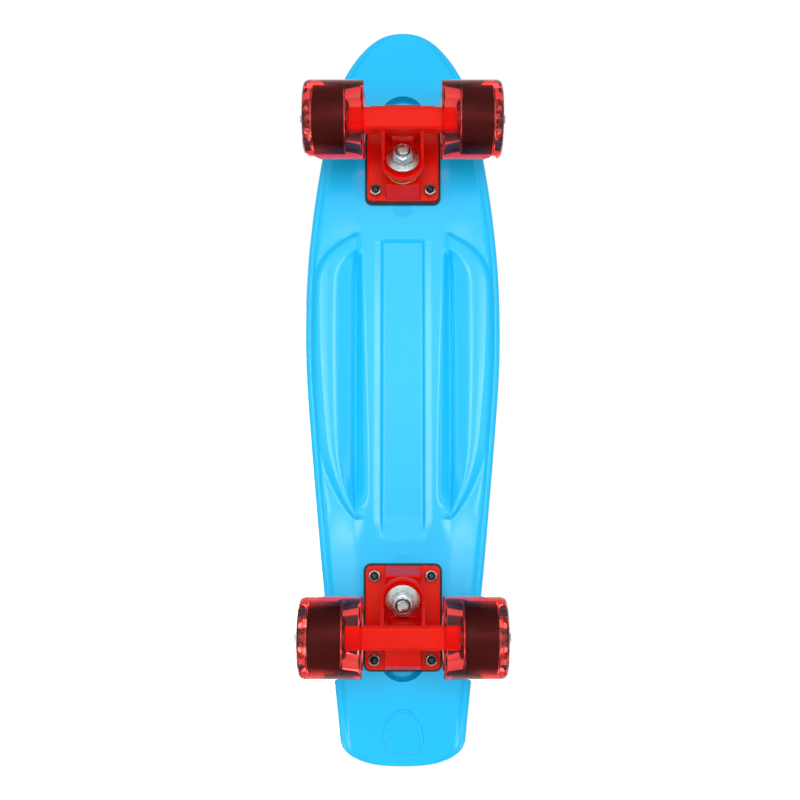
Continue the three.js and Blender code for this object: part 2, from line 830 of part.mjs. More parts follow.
function makeBoardBushing() {
  const start = yokeBack + seatGap;
  return bushing(boardBushingRadius, start + boardBushingHeight, start);
}

// The hanger's cross beam, with its long edges chamfered
function hangerBeam() {
  const low = -axleDepth - beamBelowAxle;
  const high = -axleDepth + beamAboveAxle;
  const inner = axleSetback - beamWidth / 2;
  const outer = axleSetback + beamWidth / 2;
  const c = beamChamfer;
  return crossBlock(
    [
      [inner + c, low],
      [outer - c, low],
      [outer, low + c],
      [outer, high - c],
      [outer - c, high],
      [inner + c, high],
      [inner, high - c],
      [inner, low + c],
    ],
    hangerLength,
  );
}

// The yoke's ring plate: round towards the middle of the board, straight towards the beam
function yokePlate() {
  const beamInner = axleSetback - beamWidth / 2;
  const reach = (beamInner - fromKingpin(0, yokeRim)[0]) / Math.cos(kingpinTiltAngle);
  const shape = new THREE.Shape();
  shape.moveTo(yokeRingRadius, reach + yokeBackWall);
  shape.lineTo(-yokeRingRadius, reach + yokeBackWall);
  shape.absarc(0, 0, yokeRingRadius, Math.PI, 2 * Math.PI, false);
  return slab(shape, yokeRim, yokeBack, roundSides).applyMatrix4(kingpinFrame);
}

// One side wall of the yoke, from the ring's rim up to the beam's face
function yokeGusset(hand) {
  const beamInner = axleSetback - beamWidth / 2;
  const roadFace = -axleDepth - beamBelowAxle + beamChamfer;
  const start = fromKingpin(yokeGussetStart, yokeRim);
  const foot = fromKingpin(yokeGussetStart, yokeBack - seatGap);
  const outline = [
    start,
    [beamInner + beamChamfer, roadFace + yokeGussetDrop],
    [beamInner + beamChamfer, foot[1]],
    foot,
  ];
  return crossBlock(outline, yokeWall, hand * (yokeRingRadius - yokeWall / 2));
}

// The wall under the beam that closes the yoke
function yokeBackBlock() {
  const beamInner = axleSetback - beamWidth / 2;
  const beamTop = -axleDepth + beamAboveAxle - beamChamfer;
  const reach = (beamInner - roadWasherSetback) / Math.cos(kingpinTiltAngle);
  const plateAtWall = fromKingpin(reach, yokeBack - seatGap)[1];
  return crossBlock(
    [
      [beamInner, beamTop],
      [beamInner + yokeBackWall, beamTop],
      [beamInner + yokeBackWall, plateAtWall],
      [beamInner, plateAtWall],
    ],
    2 * yokeRingRadius,
  );
}

// The arm that rises from the beam to the pivot's neck
function pivotArm() {
  const beamInner = axleSetback - beamWidth / 2;
  const beamOuter = axleSetback + beamWidth / 2;
  const beamTop = -axleDepth + beamAboveAxle - beamChamfer;
  const neckEnd = pivotDistance - pivotMouthGap;
  const neckStart = neckEnd - pivotNeckLength;
  const neckRoad = fromKingpin(neckEnd, steerCentre - pivotNeckRadius);
  const neckBoard = fromKingpin(neckStart, steerCentre + pivotNeckRadius - armFrontInset);
  const plateBack = fromKingpin(neckStart - pivotNeckLength, yokeBack - seatGap);
  return crossBlock(
    [
      [beamInner + armFrontInset, beamTop],
      [beamOuter - armFrontInset, beamTop],
      neckRoad,
      neckBoard,
      plateBack,
    ],
    armWidth,
  );
}

// The pivot's neck and nose, turned about the steering axis
function pivotNose() {
  const neckEnd = pivotDistance - pivotMouthGap;
  const tip = pivotDistance + pivotNoseLength;
  const profile = [
    [0, neckEnd - pivotNeckLength],
    [pivotNeckRadius, neckEnd - pivotNeckLength],
    [pivotNeckRadius, neckEnd],
    [pivotNoseRadius, neckEnd + pivotMouthGap / 2],
    [pivotNoseRadius, tip - pivotNoseRound],
    [pivotNoseRadius - pivotNoseRound, tip],
    [0, tip],
  ];
  return turned(profile, roundSides).applyMatrix4(pivotFrame);
}

function makeHanger() {
  const recess = bar(yokeRingRadius - yokeWall, -roadWasherDepth, yokeFloor, 2 * roundSides);
  const ringHole = bar(yokeHoleRadius, yokeRim - cutOverrun, yokeBack + cutOverrun);
  const bore = bar(axleRadius + seatGap, -hangerLength, hangerLength).rotateY(Math.PI / 2);
  const body = joined(
    hangerBeam(),
    yokePlate(),
    yokeGusset(-1),
    yokeGusset(1),
    yokeBackBlock(),
    pivotArm(),
    pivotNose(),
  );
  const recessBesideBeam = cut(recess.applyMatrix4(kingpinFrame), hangerBeam());
  bore.translate(0, axleSetback, -axleDepth);
  return cut(body, recessBesideBeam, ringHole.applyMatrix4(kingpinFrame), bore);
}

// The axle, with the shoulders and bearing spacers that stay on it, along Z
function makeAxle() {
  const end = axleNutEnd + axleTipProud;
  const shoulderStart = hangerLength / 2 + seatGap;
  const shoulderEnd = shoulderStart + speedWasherThickness;
  const spacerStart = coreInnerFace + bearingWidth + seatGap;
  const spacerEnd = spacerStart + bearingPairGap - 2 * seatGap;
  const half = [
    [axleRadius, shoulderStart],
    [shoulderRadius, shoulderStart],
    [shoulderRadius, shoulderEnd],
    [axleRadius, shoulderEnd],
    [axleRadius, spacerStart],
    [spacerRadius, spacerStart],
    [spacerRadius, spacerEnd],
    [axleRadius, spacerEnd],
    [axleRadius, end - axleTipChamfer],
    [axleRadius - axleTipChamfer, end],
    [0, end],
  ];
  const lower = half.map(([radius, height]) => [radius, -height]).reverse();
  return turned([...lower, ...half], roundSides);
}

// An axle nut with the washer that runs against the bearing, along Z from the bearing's face
function makeAxleNut() {
  const start = axleNutStart;
  const end = axleNutEnd;
  const washer = bar(speedWasherRadius, start, start + speedWasherThickness);
  const hexagon = bar(hexRadius(axleNutWidth), start, end - axleNutCollar / 2, 6, Math.PI / 6);
  const collar = bar((axleNutWidth / 2 + axleRadius) / 2, start, end);
  const bore = bar(axleRadius + seatGap, start - cutOverrun, end + cutOverrun);
  return cut(joined(washer, hexagon, collar), bore);
}

function makeTyre() {
  const pocketStart = coreInnerFace - seatGap;
  const pocketEnd = coreOuterFace + seatGap;
  const pocket = coreRadius + seatGap;
  const roundSide = wheelEdgeRound * wheelEdgeRoundShare;
  const profile = [
    [pocket, pocketStart],
    [coreLipRadius, pocketStart],
    [innerMouthRadius - tyreLip / 2, wheelInnerFace + tyreLip],
    [innerMouthRadius + tyreLip / 2, wheelInnerFace],
    [wheelRadius - wheelInnerEdge, wheelInnerFace],
    [wheelRadius, wheelInnerFace + wheelInnerEdge],
    [wheelRadius, wheelOuterFace - wheelEdgeRound],
    [wheelRadius - roundSide, wheelOuterFace - roundSide],
    [wheelRadius - wheelEdgeRound, wheelOuterFace],
    [outerMouthRadius + tyreLip / 2, wheelOuterFace],
    [outerMouthRadius - tyreLip / 2, wheelOuterFace - tyreLip],
    [coreLipRadius, pocketEnd],
    [pocket, pocketEnd],
  ];
  return turnedRing(profile, wheelSides, Math.PI / wheelSides);
}

function makeCore() {
  const seat = bearingRadius + seatGap;
  const start = coreInnerFace;
  const end = coreOuterFace;
  const profile = [
    [seat, start],
    [coreRadius - coreChamfer, start],
    [coreRadius, start + coreChamfer],
    [coreRadius, end - coreChamfer],
    [coreRadius - coreChamfer, end],
    [seat, end],
    [seat, end - bearingWidth - seatGap / 2],
    [coreWaistRadius, end - bearingWidth - seatGap],
    [coreWaistRadius, start + bearingWidth + seatGap],
    [seat, start + bearingWidth + seatGap / 2],
  ];
  return turnedRing(profile, coreSides);
}

// A sealed ball bearing with its shield sunk between the races, on the face at the given end
function makeBearing(start, shieldOnEnd) {
  const bore = axleRadius + runningGap;
  const profile = [
    [bore, 0],
    [bearingHubRadius, 0],
    [bearingHubRadius, shieldDepth],
    [bearingRaceRadius, shieldDepth],
    [bearingRaceRadius, 0],
    [bearingRadius, 0],
    [bearingRadius, bearingWidth],
    [bore, bearingWidth],
  ];
  const bearing = turnedRing(profile, roundSides);
  if (shieldOnEnd) bearing.rotateX(Math.PI).translate(0, 0, bearingWidth);
  return bearing.translate(0, 0, start);
}

function named(name, geometry, material) {
  const mesh = new THREE.Mesh(geometry, material);
  mesh.name = name;
  return mesh;
}

// One wheel with its core and bearings, along X from the middle of the axle
function wheelGroup(name) {
  const group = new THREE.Group();
  group.rotation.y = Math.PI / 2;
  group.add(named(name + "_tyre", makeTyre(), materials.tyre));
  group.add(named(name + "_core", makeCore(), materials.core));
  const outerStart = coreOuterFace - bearingWidth;
  group.add(named(name + "_bearing_inner", makeBearing(coreInnerFace, false), materials.steel));
  group.add(named(name + "_bearing_outer", makeBearing(outerStart, true), materials.steel));
  return group;
}

// The stack on the kingpin, in the kingpin's frame
function kingpinGroup(end) {
  const group = new THREE.Group();
  group.applyMatrix4(kingpinFrame);
  group.add(named(end + "_kingpin", makeKingpin(), materials.steel));
  group.add(named(end + "_kingpin_nut", makeKingpinNut(), materials.steel));
  group.add(named(end + "_road_washer", makeRoadWasher(), materials.steel));
  group.add(named(end + "_road_bushing", makeRoadBushing(), materials.bushing));
  group.add(named(end + "_board_bushing", makeBoardBushing(), materials.bushing));
  group.add(named(end + "_board_washer", makeBoardWasher(), materials.zinc));
  return group;
}

// Which side of the board a place in a truck is on: the rear truck is turned round
function sideName(end, x) {
  return x > 0 === (end === "front") ? "right" : "left";
}

// The bolts and nuts of one truck, with the pair nearer the middle of the board called inner
function boltGroup(end) {
  const group = new THREE.Group();
  boltPattern().forEach(([x, y]) => {
    const place = (y < 0 ? "inner_" : "outer_") + sideName(end, x);
    const bolt = named(end + "_bolt_" + place, makeTruckBolt(), materials.steel);
    const nut = named(end + "_nut_" + place, makeTruckNut(), materials.steel);
    bolt.position.set(x, y, 0);
    nut.position.set(x, y, 0);
    group.add(bolt, nut);
  });
  return group;
}

// The axle with a wheel and a nut at each end
function axleGroup(end) {
  const group = new THREE.Group();
  group.position.set(0, axleSetback, -axleDepth);
  const axle = named(end + "_axle", makeAxle(), materials.steel);
  axle.rotation.y = Math.PI / 2;
  group.add(axle);
  for (const hand of [1, -1]) {
    const side = sideName(end, hand);
    const half = new THREE.Group();
    half.rotation.z = hand > 0 ? 0 : Math.PI;
    const nut = named(end + "_axle_nut_" + side, makeAxleNut(), materials.steel);
    nut.rotation.y = Math.PI / 2;
    half.add(nut, wheelGroup(end + "_wheel_" + side));
    group.add(half);
  }
  return group;
}

// A whole truck about the middle of its baseplate, with the pivot towards +Y
function truckGroup(end) {
  const group = new THREE.Group();
  group.add(named(end + "_riser_pad", makeRiserPad(), materials.riser));
  group.add(named(end + "_baseplate", makeBaseplate(), materials.paint));
  group.add(named(end + "_hanger", makeHanger(), materials.paint));
  const cup = named(end + "_pivot_cup", makePivotCup(), materials.cup);
  cup.applyMatrix4(pivotFrame);
  group.add(cup, kingpinGroup(end), boltGroup(end), axleGroup(end));
  return group;
}

const board = new THREE.Group();
board.add(named("deck", makeDeck(), materials.deck));

const frontTruck = truckGroup("front");
frontTruck.position.set(0, frontTruckMiddle, padLevel);
const rearTruck = truckGroup("rear");
rearTruck.position.set(0, rearTruckMiddle, padLevel);
rearTruck.rotation.z = Math.PI;
board.add(frontTruck, rearTruck);

export default board;
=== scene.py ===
import math

import bmesh
import bpy
import numpy as np
from mathutils import Matrix, Vector


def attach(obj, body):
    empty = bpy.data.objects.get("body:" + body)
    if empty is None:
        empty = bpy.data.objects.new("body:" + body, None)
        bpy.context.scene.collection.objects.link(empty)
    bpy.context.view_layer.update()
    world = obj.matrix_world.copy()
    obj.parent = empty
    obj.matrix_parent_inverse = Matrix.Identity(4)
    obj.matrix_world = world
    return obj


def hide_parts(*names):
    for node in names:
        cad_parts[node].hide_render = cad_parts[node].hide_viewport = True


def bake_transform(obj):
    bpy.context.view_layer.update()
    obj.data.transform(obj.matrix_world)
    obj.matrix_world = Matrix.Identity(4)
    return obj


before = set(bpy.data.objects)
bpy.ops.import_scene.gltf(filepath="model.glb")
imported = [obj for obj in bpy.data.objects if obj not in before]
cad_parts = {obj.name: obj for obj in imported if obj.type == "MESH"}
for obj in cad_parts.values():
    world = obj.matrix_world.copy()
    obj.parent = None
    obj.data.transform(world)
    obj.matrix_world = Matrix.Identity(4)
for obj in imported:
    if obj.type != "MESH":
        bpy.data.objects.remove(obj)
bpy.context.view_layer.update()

# A small cruiser skateboard: moulded plastic deck, cast steering trucks and clear-tinted wheels.
# Shapes are worked out in millimetres in the board's frame: +X right, +Y to the nose, +Z up.
MM = 0.001
GAP = 0.3

# Deck outline and kicks
DECK_LENGTH = 573
DECK_WIDTH = 150
OUTLINE_SHARES = [
    (0.0, 0.607), (0.109, 0.679), (0.233, 0.796), (0.351, 0.883), (0.447, 0.948), (0.52, 0.989),
    (0.585, 1.0), (0.652, 0.988), (0.718, 0.947), (0.786, 0.88), (0.881, 0.753), (1.0, 0.55),
]
TAIL_ROUND = (20, 2, 2.8)
NOSE_ROUND = (68, 1.9, 2.7)
END_CAP_SHARE = 0.9995
PAD_THICKNESS = 11
FIELD = 9.4
SKIN = 5
END_THICKNESS = 8
RIM_THICKNESS = 7.4
EDGE_BAND = 7
LEDGE = 5.5
RIM_ROUND = 3.6
TAIL_KICK = (78, 42, 20.5)
NOSE_KICK = (68, 46, 11)

# Deck ribs
PLATFORM_FRONT = 31.5
PLATFORM_REAR = 27.5
PLATFORM_FOOT = 36
CHANNEL = (15.2, 22.8)
CHANNEL_DEPTH = 2.8
CHANNEL_STEP = 1.4
CHANNEL_RAMP = 0.88
CHANNEL_SLOPES = (14, 2.4)
PAD_SLOPE = 48
RIDGE_FRONT = (2.8, 1.05)
RIDGE_REAR = (2.2, 1.2)
CREST_THICKNESS = 12.6
RIDGE_EDGE_THICKNESS = 12.2
RIDGE_FADE = 10
VALLEY_FADE = 8
VALLEY_DROP = 0.8
CREST_SHARE = 0.52
KNEE_SHARE = 0.26
KNEE_RISE = 0.45
RIDGE_EDGE_SHARES = ((-60, 70), (0.52, 0.76))
SPREAD_SHARES = (0.2, 0.4, 0.6, 0.8)

# Steps across the underside between its lines, from the middle to the rim
UNDER_STEPS = (6, 18, 7, 12, 7, 10, 9, 11, 6, 7)

# Moulded grip on the top
GRIP_PITCH = 6
GRIP_GROOVE = (0.42, 0.72)
GRIP_DEPTH = 0.45
GRIP_MARGIN = 9
GRIP_LINES = 12

# Trucks
FRONT_TRUCK_Y = 181
REAR_TRUCK_Y = -174
AXLE_HEIGHT = 29 * math.cos(math.pi / 28)
TRUCK_HEIGHT = 46
RISER = 3
PAD_LEVEL = AXLE_HEIGHT + TRUCK_HEIGHT + RISER
DECK_TOP = PAD_LEVEL + PAD_THICKNESS
TAIL_END = -DECK_LENGTH / 2
NOSE_END = DECK_LENGTH / 2
PLATFORM_ENDS = (REAR_TRUCK_Y + 94, FRONT_TRUCK_Y - 91)
CHANNEL_ENDS = (REAR_TRUCK_Y + 58.5, FRONT_TRUCK_Y - 66.5)
PAD_STARTS = (REAR_TRUCK_Y + 98, FRONT_TRUCK_Y - 95)
FOOT_ENDS = ((REAR_TRUCK_Y + 72.5, 68), (FRONT_TRUCK_Y - 61, 43))
CREST_ENDS = ((REAR_TRUCK_Y + 77, 62), (FRONT_TRUCK_Y - 74, 30))
AXLE_SETBACK = 11.8
AXLE_DEPTH = TRUCK_HEIGHT + RISER
PLATE_TOP = -RISER - GAP
PLATE_FACE = PLATE_TOP - 5
BOLT_X = 21
BOLT_Y = 30.5
BOLT_RADIUS = 2.4
BOLT_HEAD_RADIUS = 4.6
BOLT_HOLE = 2.8
BOLT_NUT_WIDTH = 8
RISER_SIZE = (58.4, 79.4, 5.5)
PLATE_SIZE = (55, 76, 4)
CAST_VOXEL = 0.42
CAST_SMOOTHING = 3
CAST_ANGLE = 60

# Round recesses and dimples in the underside: places along the deck, and (radius, depth)
RECESS_PLACES = (FRONT_TRUCK_Y + 32, REAR_TRUCK_Y - 31)
RECESS = (17.2, 6.5)
RECESS_WALL = 3.5
DIMPLE_PLACES = (139.8, -136)
DIMPLE = (8, 0.5)
CUT_OVERRUN = 4

# Kingpin stack, along the kingpin from the middle of the road-side washer
KINGPIN_TILT = 20
KINGPIN_RADIUS = 4.75
KINGPIN_BORE = 5.05
KINGPIN_NUT_WIDTH = 14.3
YOKE_RIM = 1 + GAP + 4.4 + GAP - 1.5
YOKE_BACK = YOKE_RIM + 4
BOARD_WASHER = YOKE_BACK + GAP + 4.6 + GAP
PEDESTAL_SEAT = BOARD_WASHER + 2 + GAP
KINGPIN_HEAD = PEDESTAL_SEAT + 6
STEER_CENTRE = (YOKE_RIM + YOKE_BACK) / 2 + 0.5
PIVOT_DISTANCE = 36

# Axle and wheels, along the axle from its middle
HANGER_HALF = 41.5
WHEEL_RADIUS = 28.95
WHEEL_OUTER = 73.4
WHEEL_INNER = WHEEL_OUTER - 45
CORE_OUTER = WHEEL_OUTER - 6.5
CORE_INNER = CORE_OUTER - 24
CORE_RADIUS = 17
BEARING_WIDTH = 7
BEARING_SEAT = 11.3
AXLE_RADIUS = 4
AXLE_BORE = 4.3
AXLE_NUT_WIDTH = 13

# Camera: lens in millimetres, tilt in degrees, Y and Z in metres
# Floor: half its side and its level, in metres
# World: its light from the sides, and from straight above and below
LENS = 55.03
CAMERA_SHIFT = -0.0035
CAMERA_TILT = 7.045
CAMERA_PLACE = (-0.12524, -0.8471)
FLOOR_HALF = 6
FLOOR_LEVEL = -0.0004
WORLD_LEVELS = (0.36, 1.18)


# Placing


def move(x, y, z):
    matrix = np.eye(4)
    matrix[:3, 3] = (x, y, z)
    return matrix


def turn(axis, degrees):
    """A rotation about X, Y or Z."""
    c, s = math.cos(math.radians(degrees)), math.sin(math.radians(degrees))
    matrix = np.eye(4)
    a, b = {"x": (1, 2), "y": (2, 0), "z": (0, 1)}[axis]
    matrix[a, a] = matrix[b, b] = c
    matrix[a, b], matrix[b, a] = -s, s
    return matrix


KINGPIN_FRAME = move(0, -12.9, -34.5) @ turn("x", KINGPIN_TILT)
PIVOT_FRAME = KINGPIN_FRAME @ move(0, 0, STEER_CENTRE) @ turn("x", -90)
TRUCKS = {
    "front": move(0, FRONT_TRUCK_Y, PAD_LEVEL),
    "rear": move(0, REAR_TRUCK_Y, PAD_LEVEL) @ turn("z", 180),
}


def from_kingpin(outward, boardward):
    """A place (along, height) in the truck from one in the kingpin's frame."""
    _, y, z, _ = KINGPIN_FRAME @ (0, outward, boardward, 1)
    return y, z


# Meshes


def apply(matrix, points):
    points = np.asarray(points, float)
    return points @ matrix[:3, :3].T + matrix[:3, 3]


def placed(part, matrix):
    """A (points, faces) part moved to its place."""
    return apply(matrix, part[0]), part[1]


def grid_faces(rows, columns, wrap_rows=False, wrap_columns=False):
    """Quads of a grid of points stored row by row."""
    r = np.arange(rows if wrap_rows else rows - 1)
    c = np.arange(columns if wrap_columns else columns - 1)
    r, c = np.meshgrid(r, c, indexing="ij")
    r2, c2 = (r + 1) % rows, (c + 1) % columns
    quads = [r * columns + c, r * columns + c2, r2 * columns + c2, r2 * columns + c]
    return np.stack(quads, -1).reshape(-1, 4).tolist()


def rounded(profile, radius, steps=4, closed=True):
    """A profile of points with its corners turned into small arcs."""
    points = [np.array(p, float) for p in profile]
    count = len(points)
    out = []
    for i, p in enumerate(points):
        before, after = points[i - 1] - p, points[(i + 1) % count] - p
        lengths = np.linalg.norm(before), np.linalg.norm(after)
        open_end = not closed and i in (0, count - 1)
        if open_end or min(lengths) < 1e-6 or radius <= 0:
            out.append(p)
            continue
        u, v = before / lengths[0], after / lengths[1]
        bend = 1 + float(u @ v)
        if bend < 0.02:
            out.append(p)
            continue
        reach = min(radius, 0.45 * min(lengths))
        for t in np.linspace(0, 1, steps + 1):
            out.append(p + u * reach * (1 - t) ** 2 + v * reach * t**2)
    return out


def spun(profile_at, sides, axis_ends=False):
    """A solid round Z from a profile of (radius, height) that may change with the angle."""
    angles = np.arange(sides) * 2 * math.pi / sides
    rings = np.array([profile_at(a) for a in angles], float)
    count = rings.shape[1]
    x = rings[:, :, 0] * np.cos(angles)[:, None]
    y = rings[:, :, 0] * np.sin(angles)[:, None]
    points = np.stack([x, y, rings[:, :, 1]], -1).reshape(-1, 3)
    faces = grid_faces(sides, count, wrap_rows=True, wrap_columns=not axis_ends)
    return points, faces


def lathe(profile, sides=96, radius=0.25, steps=3):
    """A turned solid with rounded edges: a closed loop, or a line from axis to axis."""
    axis_ends = profile[0][0] < 1e-9
    loop = rounded(profile, radius, steps, closed=not axis_ends)
    return spun(lambda a: loop, sides, axis_ends)


def rod(radius, low, high, sides, edge=0):
    """A turned solid cylinder."""
    return lathe([(0, low), (radius, low), (radius, high), (0, high)], sides, edge)


def tube(inner, outer, low, high, edge):
    """A turned ring."""
    return lathe([(inner, low), (outer, low), (outer, high), (inner, high)], 64, edge)


def thread_profile(radius, start, end, pitch, depth, chamfer):
    """The profile at each angle of a threaded rod from the axis out and back."""
    heights = np.arange(start, end, pitch / 6)

    def at(angle):
        phase = heights / pitch - angle / (2 * math.pi)
        groove = np.abs((phase % 1) - 0.5) * 2
        near_end = np.clip((heights - start) / chamfer, 0, 1)
        radii = radius - depth * (1 - groove) - (1 - near_end) * chamfer
        return [(0, start)] + list(zip(radii, heights)) + [(radius, end), (0, end)]

    return at


def hexagon_profile(width, bore, low, high):
    """The profile at each angle of a hexagon nut, its corners cut back by a cone."""
    cone = width / 2 * 0.93 * 1.03
    slope = math.tan(math.radians(28))

    def at(angle):
        flat = width / 2 / math.cos((angle + math.pi / 6) % (math.pi / 3) - math.pi / 6)
        drop = slope * max(0, flat - cone)
        mid = cone + (flat - cone) / 2
        half = slope * max(0, mid - cone)
        lower = [(bore, low), (cone, low), (mid, low + half), (flat, low + drop)]
        return [*lower, (flat, high - drop), (mid, high - half), (cone, high), (bore, high)]

    return at


def pulled(near, far):
    """A closed solid between two outlines of the same form."""
    count = len(near)
    faces = [(i, (i + 1) % count, (i + 1) % count + count, i + count) for i in range(count)]
    return np.array(near + far), [*faces, tuple(range(count))[::-1], tuple(range(count, 2 * count))]


def prism(outline, width, middle=0):
    """An outline in Y and Z pulled across X."""
    near = [(middle - width / 2, y, z) for y, z in outline]
    far = [(middle + width / 2, y, z) for y, z in outline]
    return pulled(near, far)


def slab(outline, low, high):
    """A flat outline in X and Y between two heights."""
    return pulled([(x, y, low) for x, y in outline], [(x, y, high) for x, y in outline])


def rounded_rectangle(width, length, radius):
    steps = 8
    w, h = width / 2, length / 2
    corners = [(w, -h), (w, h), (-w, h), (-w, -h)]
    out = []
    for k, (x, y) in enumerate(corners):
        cx, cy = x - math.copysign(radius, x), y - math.copysign(radius, y)
        for t in np.linspace(0, 1, steps + 1):
            angle = math.pi / 2 * (k - 1 + t)
            out.append((cx + radius * math.cos(angle), cy + radius * math.sin(angle)))
    return out


def add(name, data):
    """A new object in the scene."""
    thing = bpy.data.objects.new(name, data)
    bpy.context.scene.collection.objects.link(thing)
    return thing


def build(name, parts):
    """One mesh object in millimetres from (points, faces) parts, facing out."""
    mesh = bpy.data.meshes.new(name)
    points, faces = [], []
    for part_points, part_faces in parts:
        offset = len(points)
        points.extend(np.asarray(part_points).tolist())
        faces.extend([[i + offset for i in f] for f in part_faces])
    mesh.from_pydata(points, [], faces)
    work = bmesh.new()
    work.from_mesh(mesh)
    bmesh.ops.remove_doubles(work, verts=work.verts, dist=1e-5)
    bmesh.ops.dissolve_degenerate(work, edges=work.edges, dist=1e-6)
    bmesh.ops.recalc_face_normals(work, faces=work.faces)
    work.to_mesh(mesh)
    work.free()
    return add(name, mesh)


def settle(thing):
    """Applies the object's modifiers to its mesh."""
    depsgraph = bpy.context.evaluated_depsgraph_get()
    mesh = bpy.data.meshes.new_from_object(thing.evaluated_get(depsgraph))
    thing.modifiers.clear()
    thing.data = mesh


def remesh(thing, smooth=0):
    """Joins the parts of a casting into one skin."""
    modifier = thing.modifiers.new("remesh", "REMESH")
    modifier.mode = "VOXEL"
    modifier.voxel_size = CAST_VOXEL
    if smooth:
        soften = thing.modifiers.new("soften", "SMOOTH")
        soften.factor = 0.5
        soften.iterations = smooth
    settle(thing)


def cut(thing, cutter):
    """Takes one closed object away from another."""
    modifier = thing.modifiers.new("cut", "BOOLEAN")
    modifier.operation = "DIFFERENCE"
    modifier.solver = "MANIFOLD"
    modifier.object = cutter
    settle(thing)
    bpy.data.objects.remove(cutter)


def carve(thing, cutters):
    """Cuts solids away from a closed mesh."""
    for part in cutters:
        cut(thing, build("cutter", [part]))


def finish_piece(thing, matrix, finish, body, nodes=(), angle=35):
    """Puts a piece in its place, in metres, with its finish, body and CAD node."""
    mesh = thing.data
    points = np.empty(len(mesh.vertices) * 3)
    mesh.vertices.foreach_get("co", points)
    points = apply(matrix, points.reshape(-1, 3)) * MM
    mesh.vertices.foreach_set("co", points.ravel())
    mesh.polygons.foreach_set("use_smooth", np.ones(len(mesh.polygons), bool))
    mesh.set_sharp_from_angle(angle=math.radians(angle))
    mesh.update()
    # A boolean cut leaves an empty material slot in front, which the faces would use
    mesh.materials.clear()
    mesh.materials.append(MATERIALS[finish])
    if body:
        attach(thing, body)
    if nodes:
        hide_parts(*nodes)


# Materials


def material(name, **values):
    """A Principled material, with its node tree to add detail to."""
    made = bpy.data.materials.new(name)
    made.use_nodes = True
    shader = made.node_tree.nodes["Principled BSDF"]
    for key, value in values.items():
        socket = shader.inputs[key.replace("_", " ")]
        socket.default_value = (*value, 1) if isinstance(value, tuple) and len(value) == 3 else value
    return made


def noise(made, scale, detail=3, stretch=(1, 1, 1)):
    nodes, links = made.node_tree.nodes, made.node_tree.links
    place = nodes.new("ShaderNodeTexCoord")
    mapping = nodes.new("ShaderNodeMapping")
    mapping.inputs["Scale"].default_value = stretch
    texture = nodes.new("ShaderNodeTexNoise")
    texture.inputs["Scale"].default_value = scale
    texture.inputs["Detail"].default_value = detail
    links.new(place.outputs["Object"], mapping.inputs["Vector"])
    links.new(mapping.outputs["Vector"], texture.inputs["Vector"])
    return texture.outputs["Fac"]


def feed(made, output, socket):
    """Sends a node's output to a socket of the material's shader."""
    made.node_tree.links.new(output, made.node_tree.nodes["Principled BSDF"].inputs[socket])


def vary_colour(made, value, low, high):
    ramp = made.node_tree.nodes.new("ShaderNodeValToRGB")
    ramp.color_ramp.elements[0].position = 0.3
    ramp.color_ramp.elements[1].position = 0.7
    ramp.color_ramp.elements[0].color = (*low, 1)
    ramp.color_ramp.elements[1].color = (*high, 1)
    made.node_tree.links.new(value, ramp.inputs["Fac"])
    feed(made, ramp.outputs["Color"], "Base Color")


def vary_roughness(made, value, low, high):
    node = made.node_tree.nodes.new("ShaderNodeMapRange")
    for key, level in zip(("From Min", "From Max", "To Min", "To Max"), (0.3, 0.7, low, high)):
        node.inputs[key].default_value = level
    made.node_tree.links.new(value, node.inputs["Value"])
    feed(made, node.outputs["Result"], "Roughness")


def bump(made, value, distance, strength):
    node = made.node_tree.nodes.new("ShaderNodeBump")
    node.inputs["Distance"].default_value = distance
    node.inputs["Strength"].default_value = strength
    made.node_tree.links.new(value, node.inputs["Height"])
    feed(made, node.outputs["Normal"], "Normal")


def math_node(tree, operation, first, second):
    """A Math node of two values, each a number or a socket."""
    node = tree.nodes.new("ShaderNodeMath")
    node.operation = operation
    for socket, value in zip(node.inputs, (first, second)):
        if isinstance(value, (int, float)):
            socket.default_value = value
        else:
            tree.links.new(value, socket)
    return node.outputs["Value"]


def mix_shaders(tree, share, first, second, output):
    """Sends a mix of two shaders to the output node."""
    mix = tree.nodes.new("ShaderNodeMixShader")
    for socket, value in zip(mix.inputs, (share, first, second)):
        tree.links.new(value, socket)
    tree.links.new(mix.outputs["Shader"], tree.nodes[output].inputs["Surface"])


def deck_material():
    made = material("deck_plastic", Specular_IOR_Level=0.42)
    vary_colour(made, noise(made, 11, 2), (0.004, 0.54, 0.985), (0.007, 0.56, 1.0))
    vary_roughness(made, noise(made, 70, 3), 0.17, 0.22)
    bump(made, noise(made, 1400, 2), 0.00002, 0.15)
    return made


def paint_material():
    made = material("truck_paint", Specular_IOR_Level=0.4, Specular_Tint=(1, 0.4, 0.3))
    vary_colour(made, noise(made, 45, 3), (0.72, 0.004, 0.001), (0.78, 0.008, 0.002))
    vary_roughness(made, noise(made, 320, 3), 0.2, 0.28)
    bump(made, noise(made, 500, 2), 0.00002, 0.2)
    return made


def rubber_material():
    made = material("riser_rubber")
    vary_colour(made, noise(made, 200, 3), (0.006, 0.006, 0.009), (0.014, 0.014, 0.018))
    vary_roughness(made, noise(made, 500, 3), 0.5, 0.7)
    bump(made, noise(made, 2200, 2), 0.00005, 0.6)
    return made


def bushing_material():
    made = material("bushing_urethane", Subsurface_Weight=0.15)
    vary_colour(made, noise(made, 120, 2), (0.8, 0.03, 0.01), (0.95, 0.06, 0.015))
    vary_roughness(made, noise(made, 400, 3), 0.25, 0.4)
    bump(made, noise(made, 900, 2), 0.00003, 0.4)
    return made


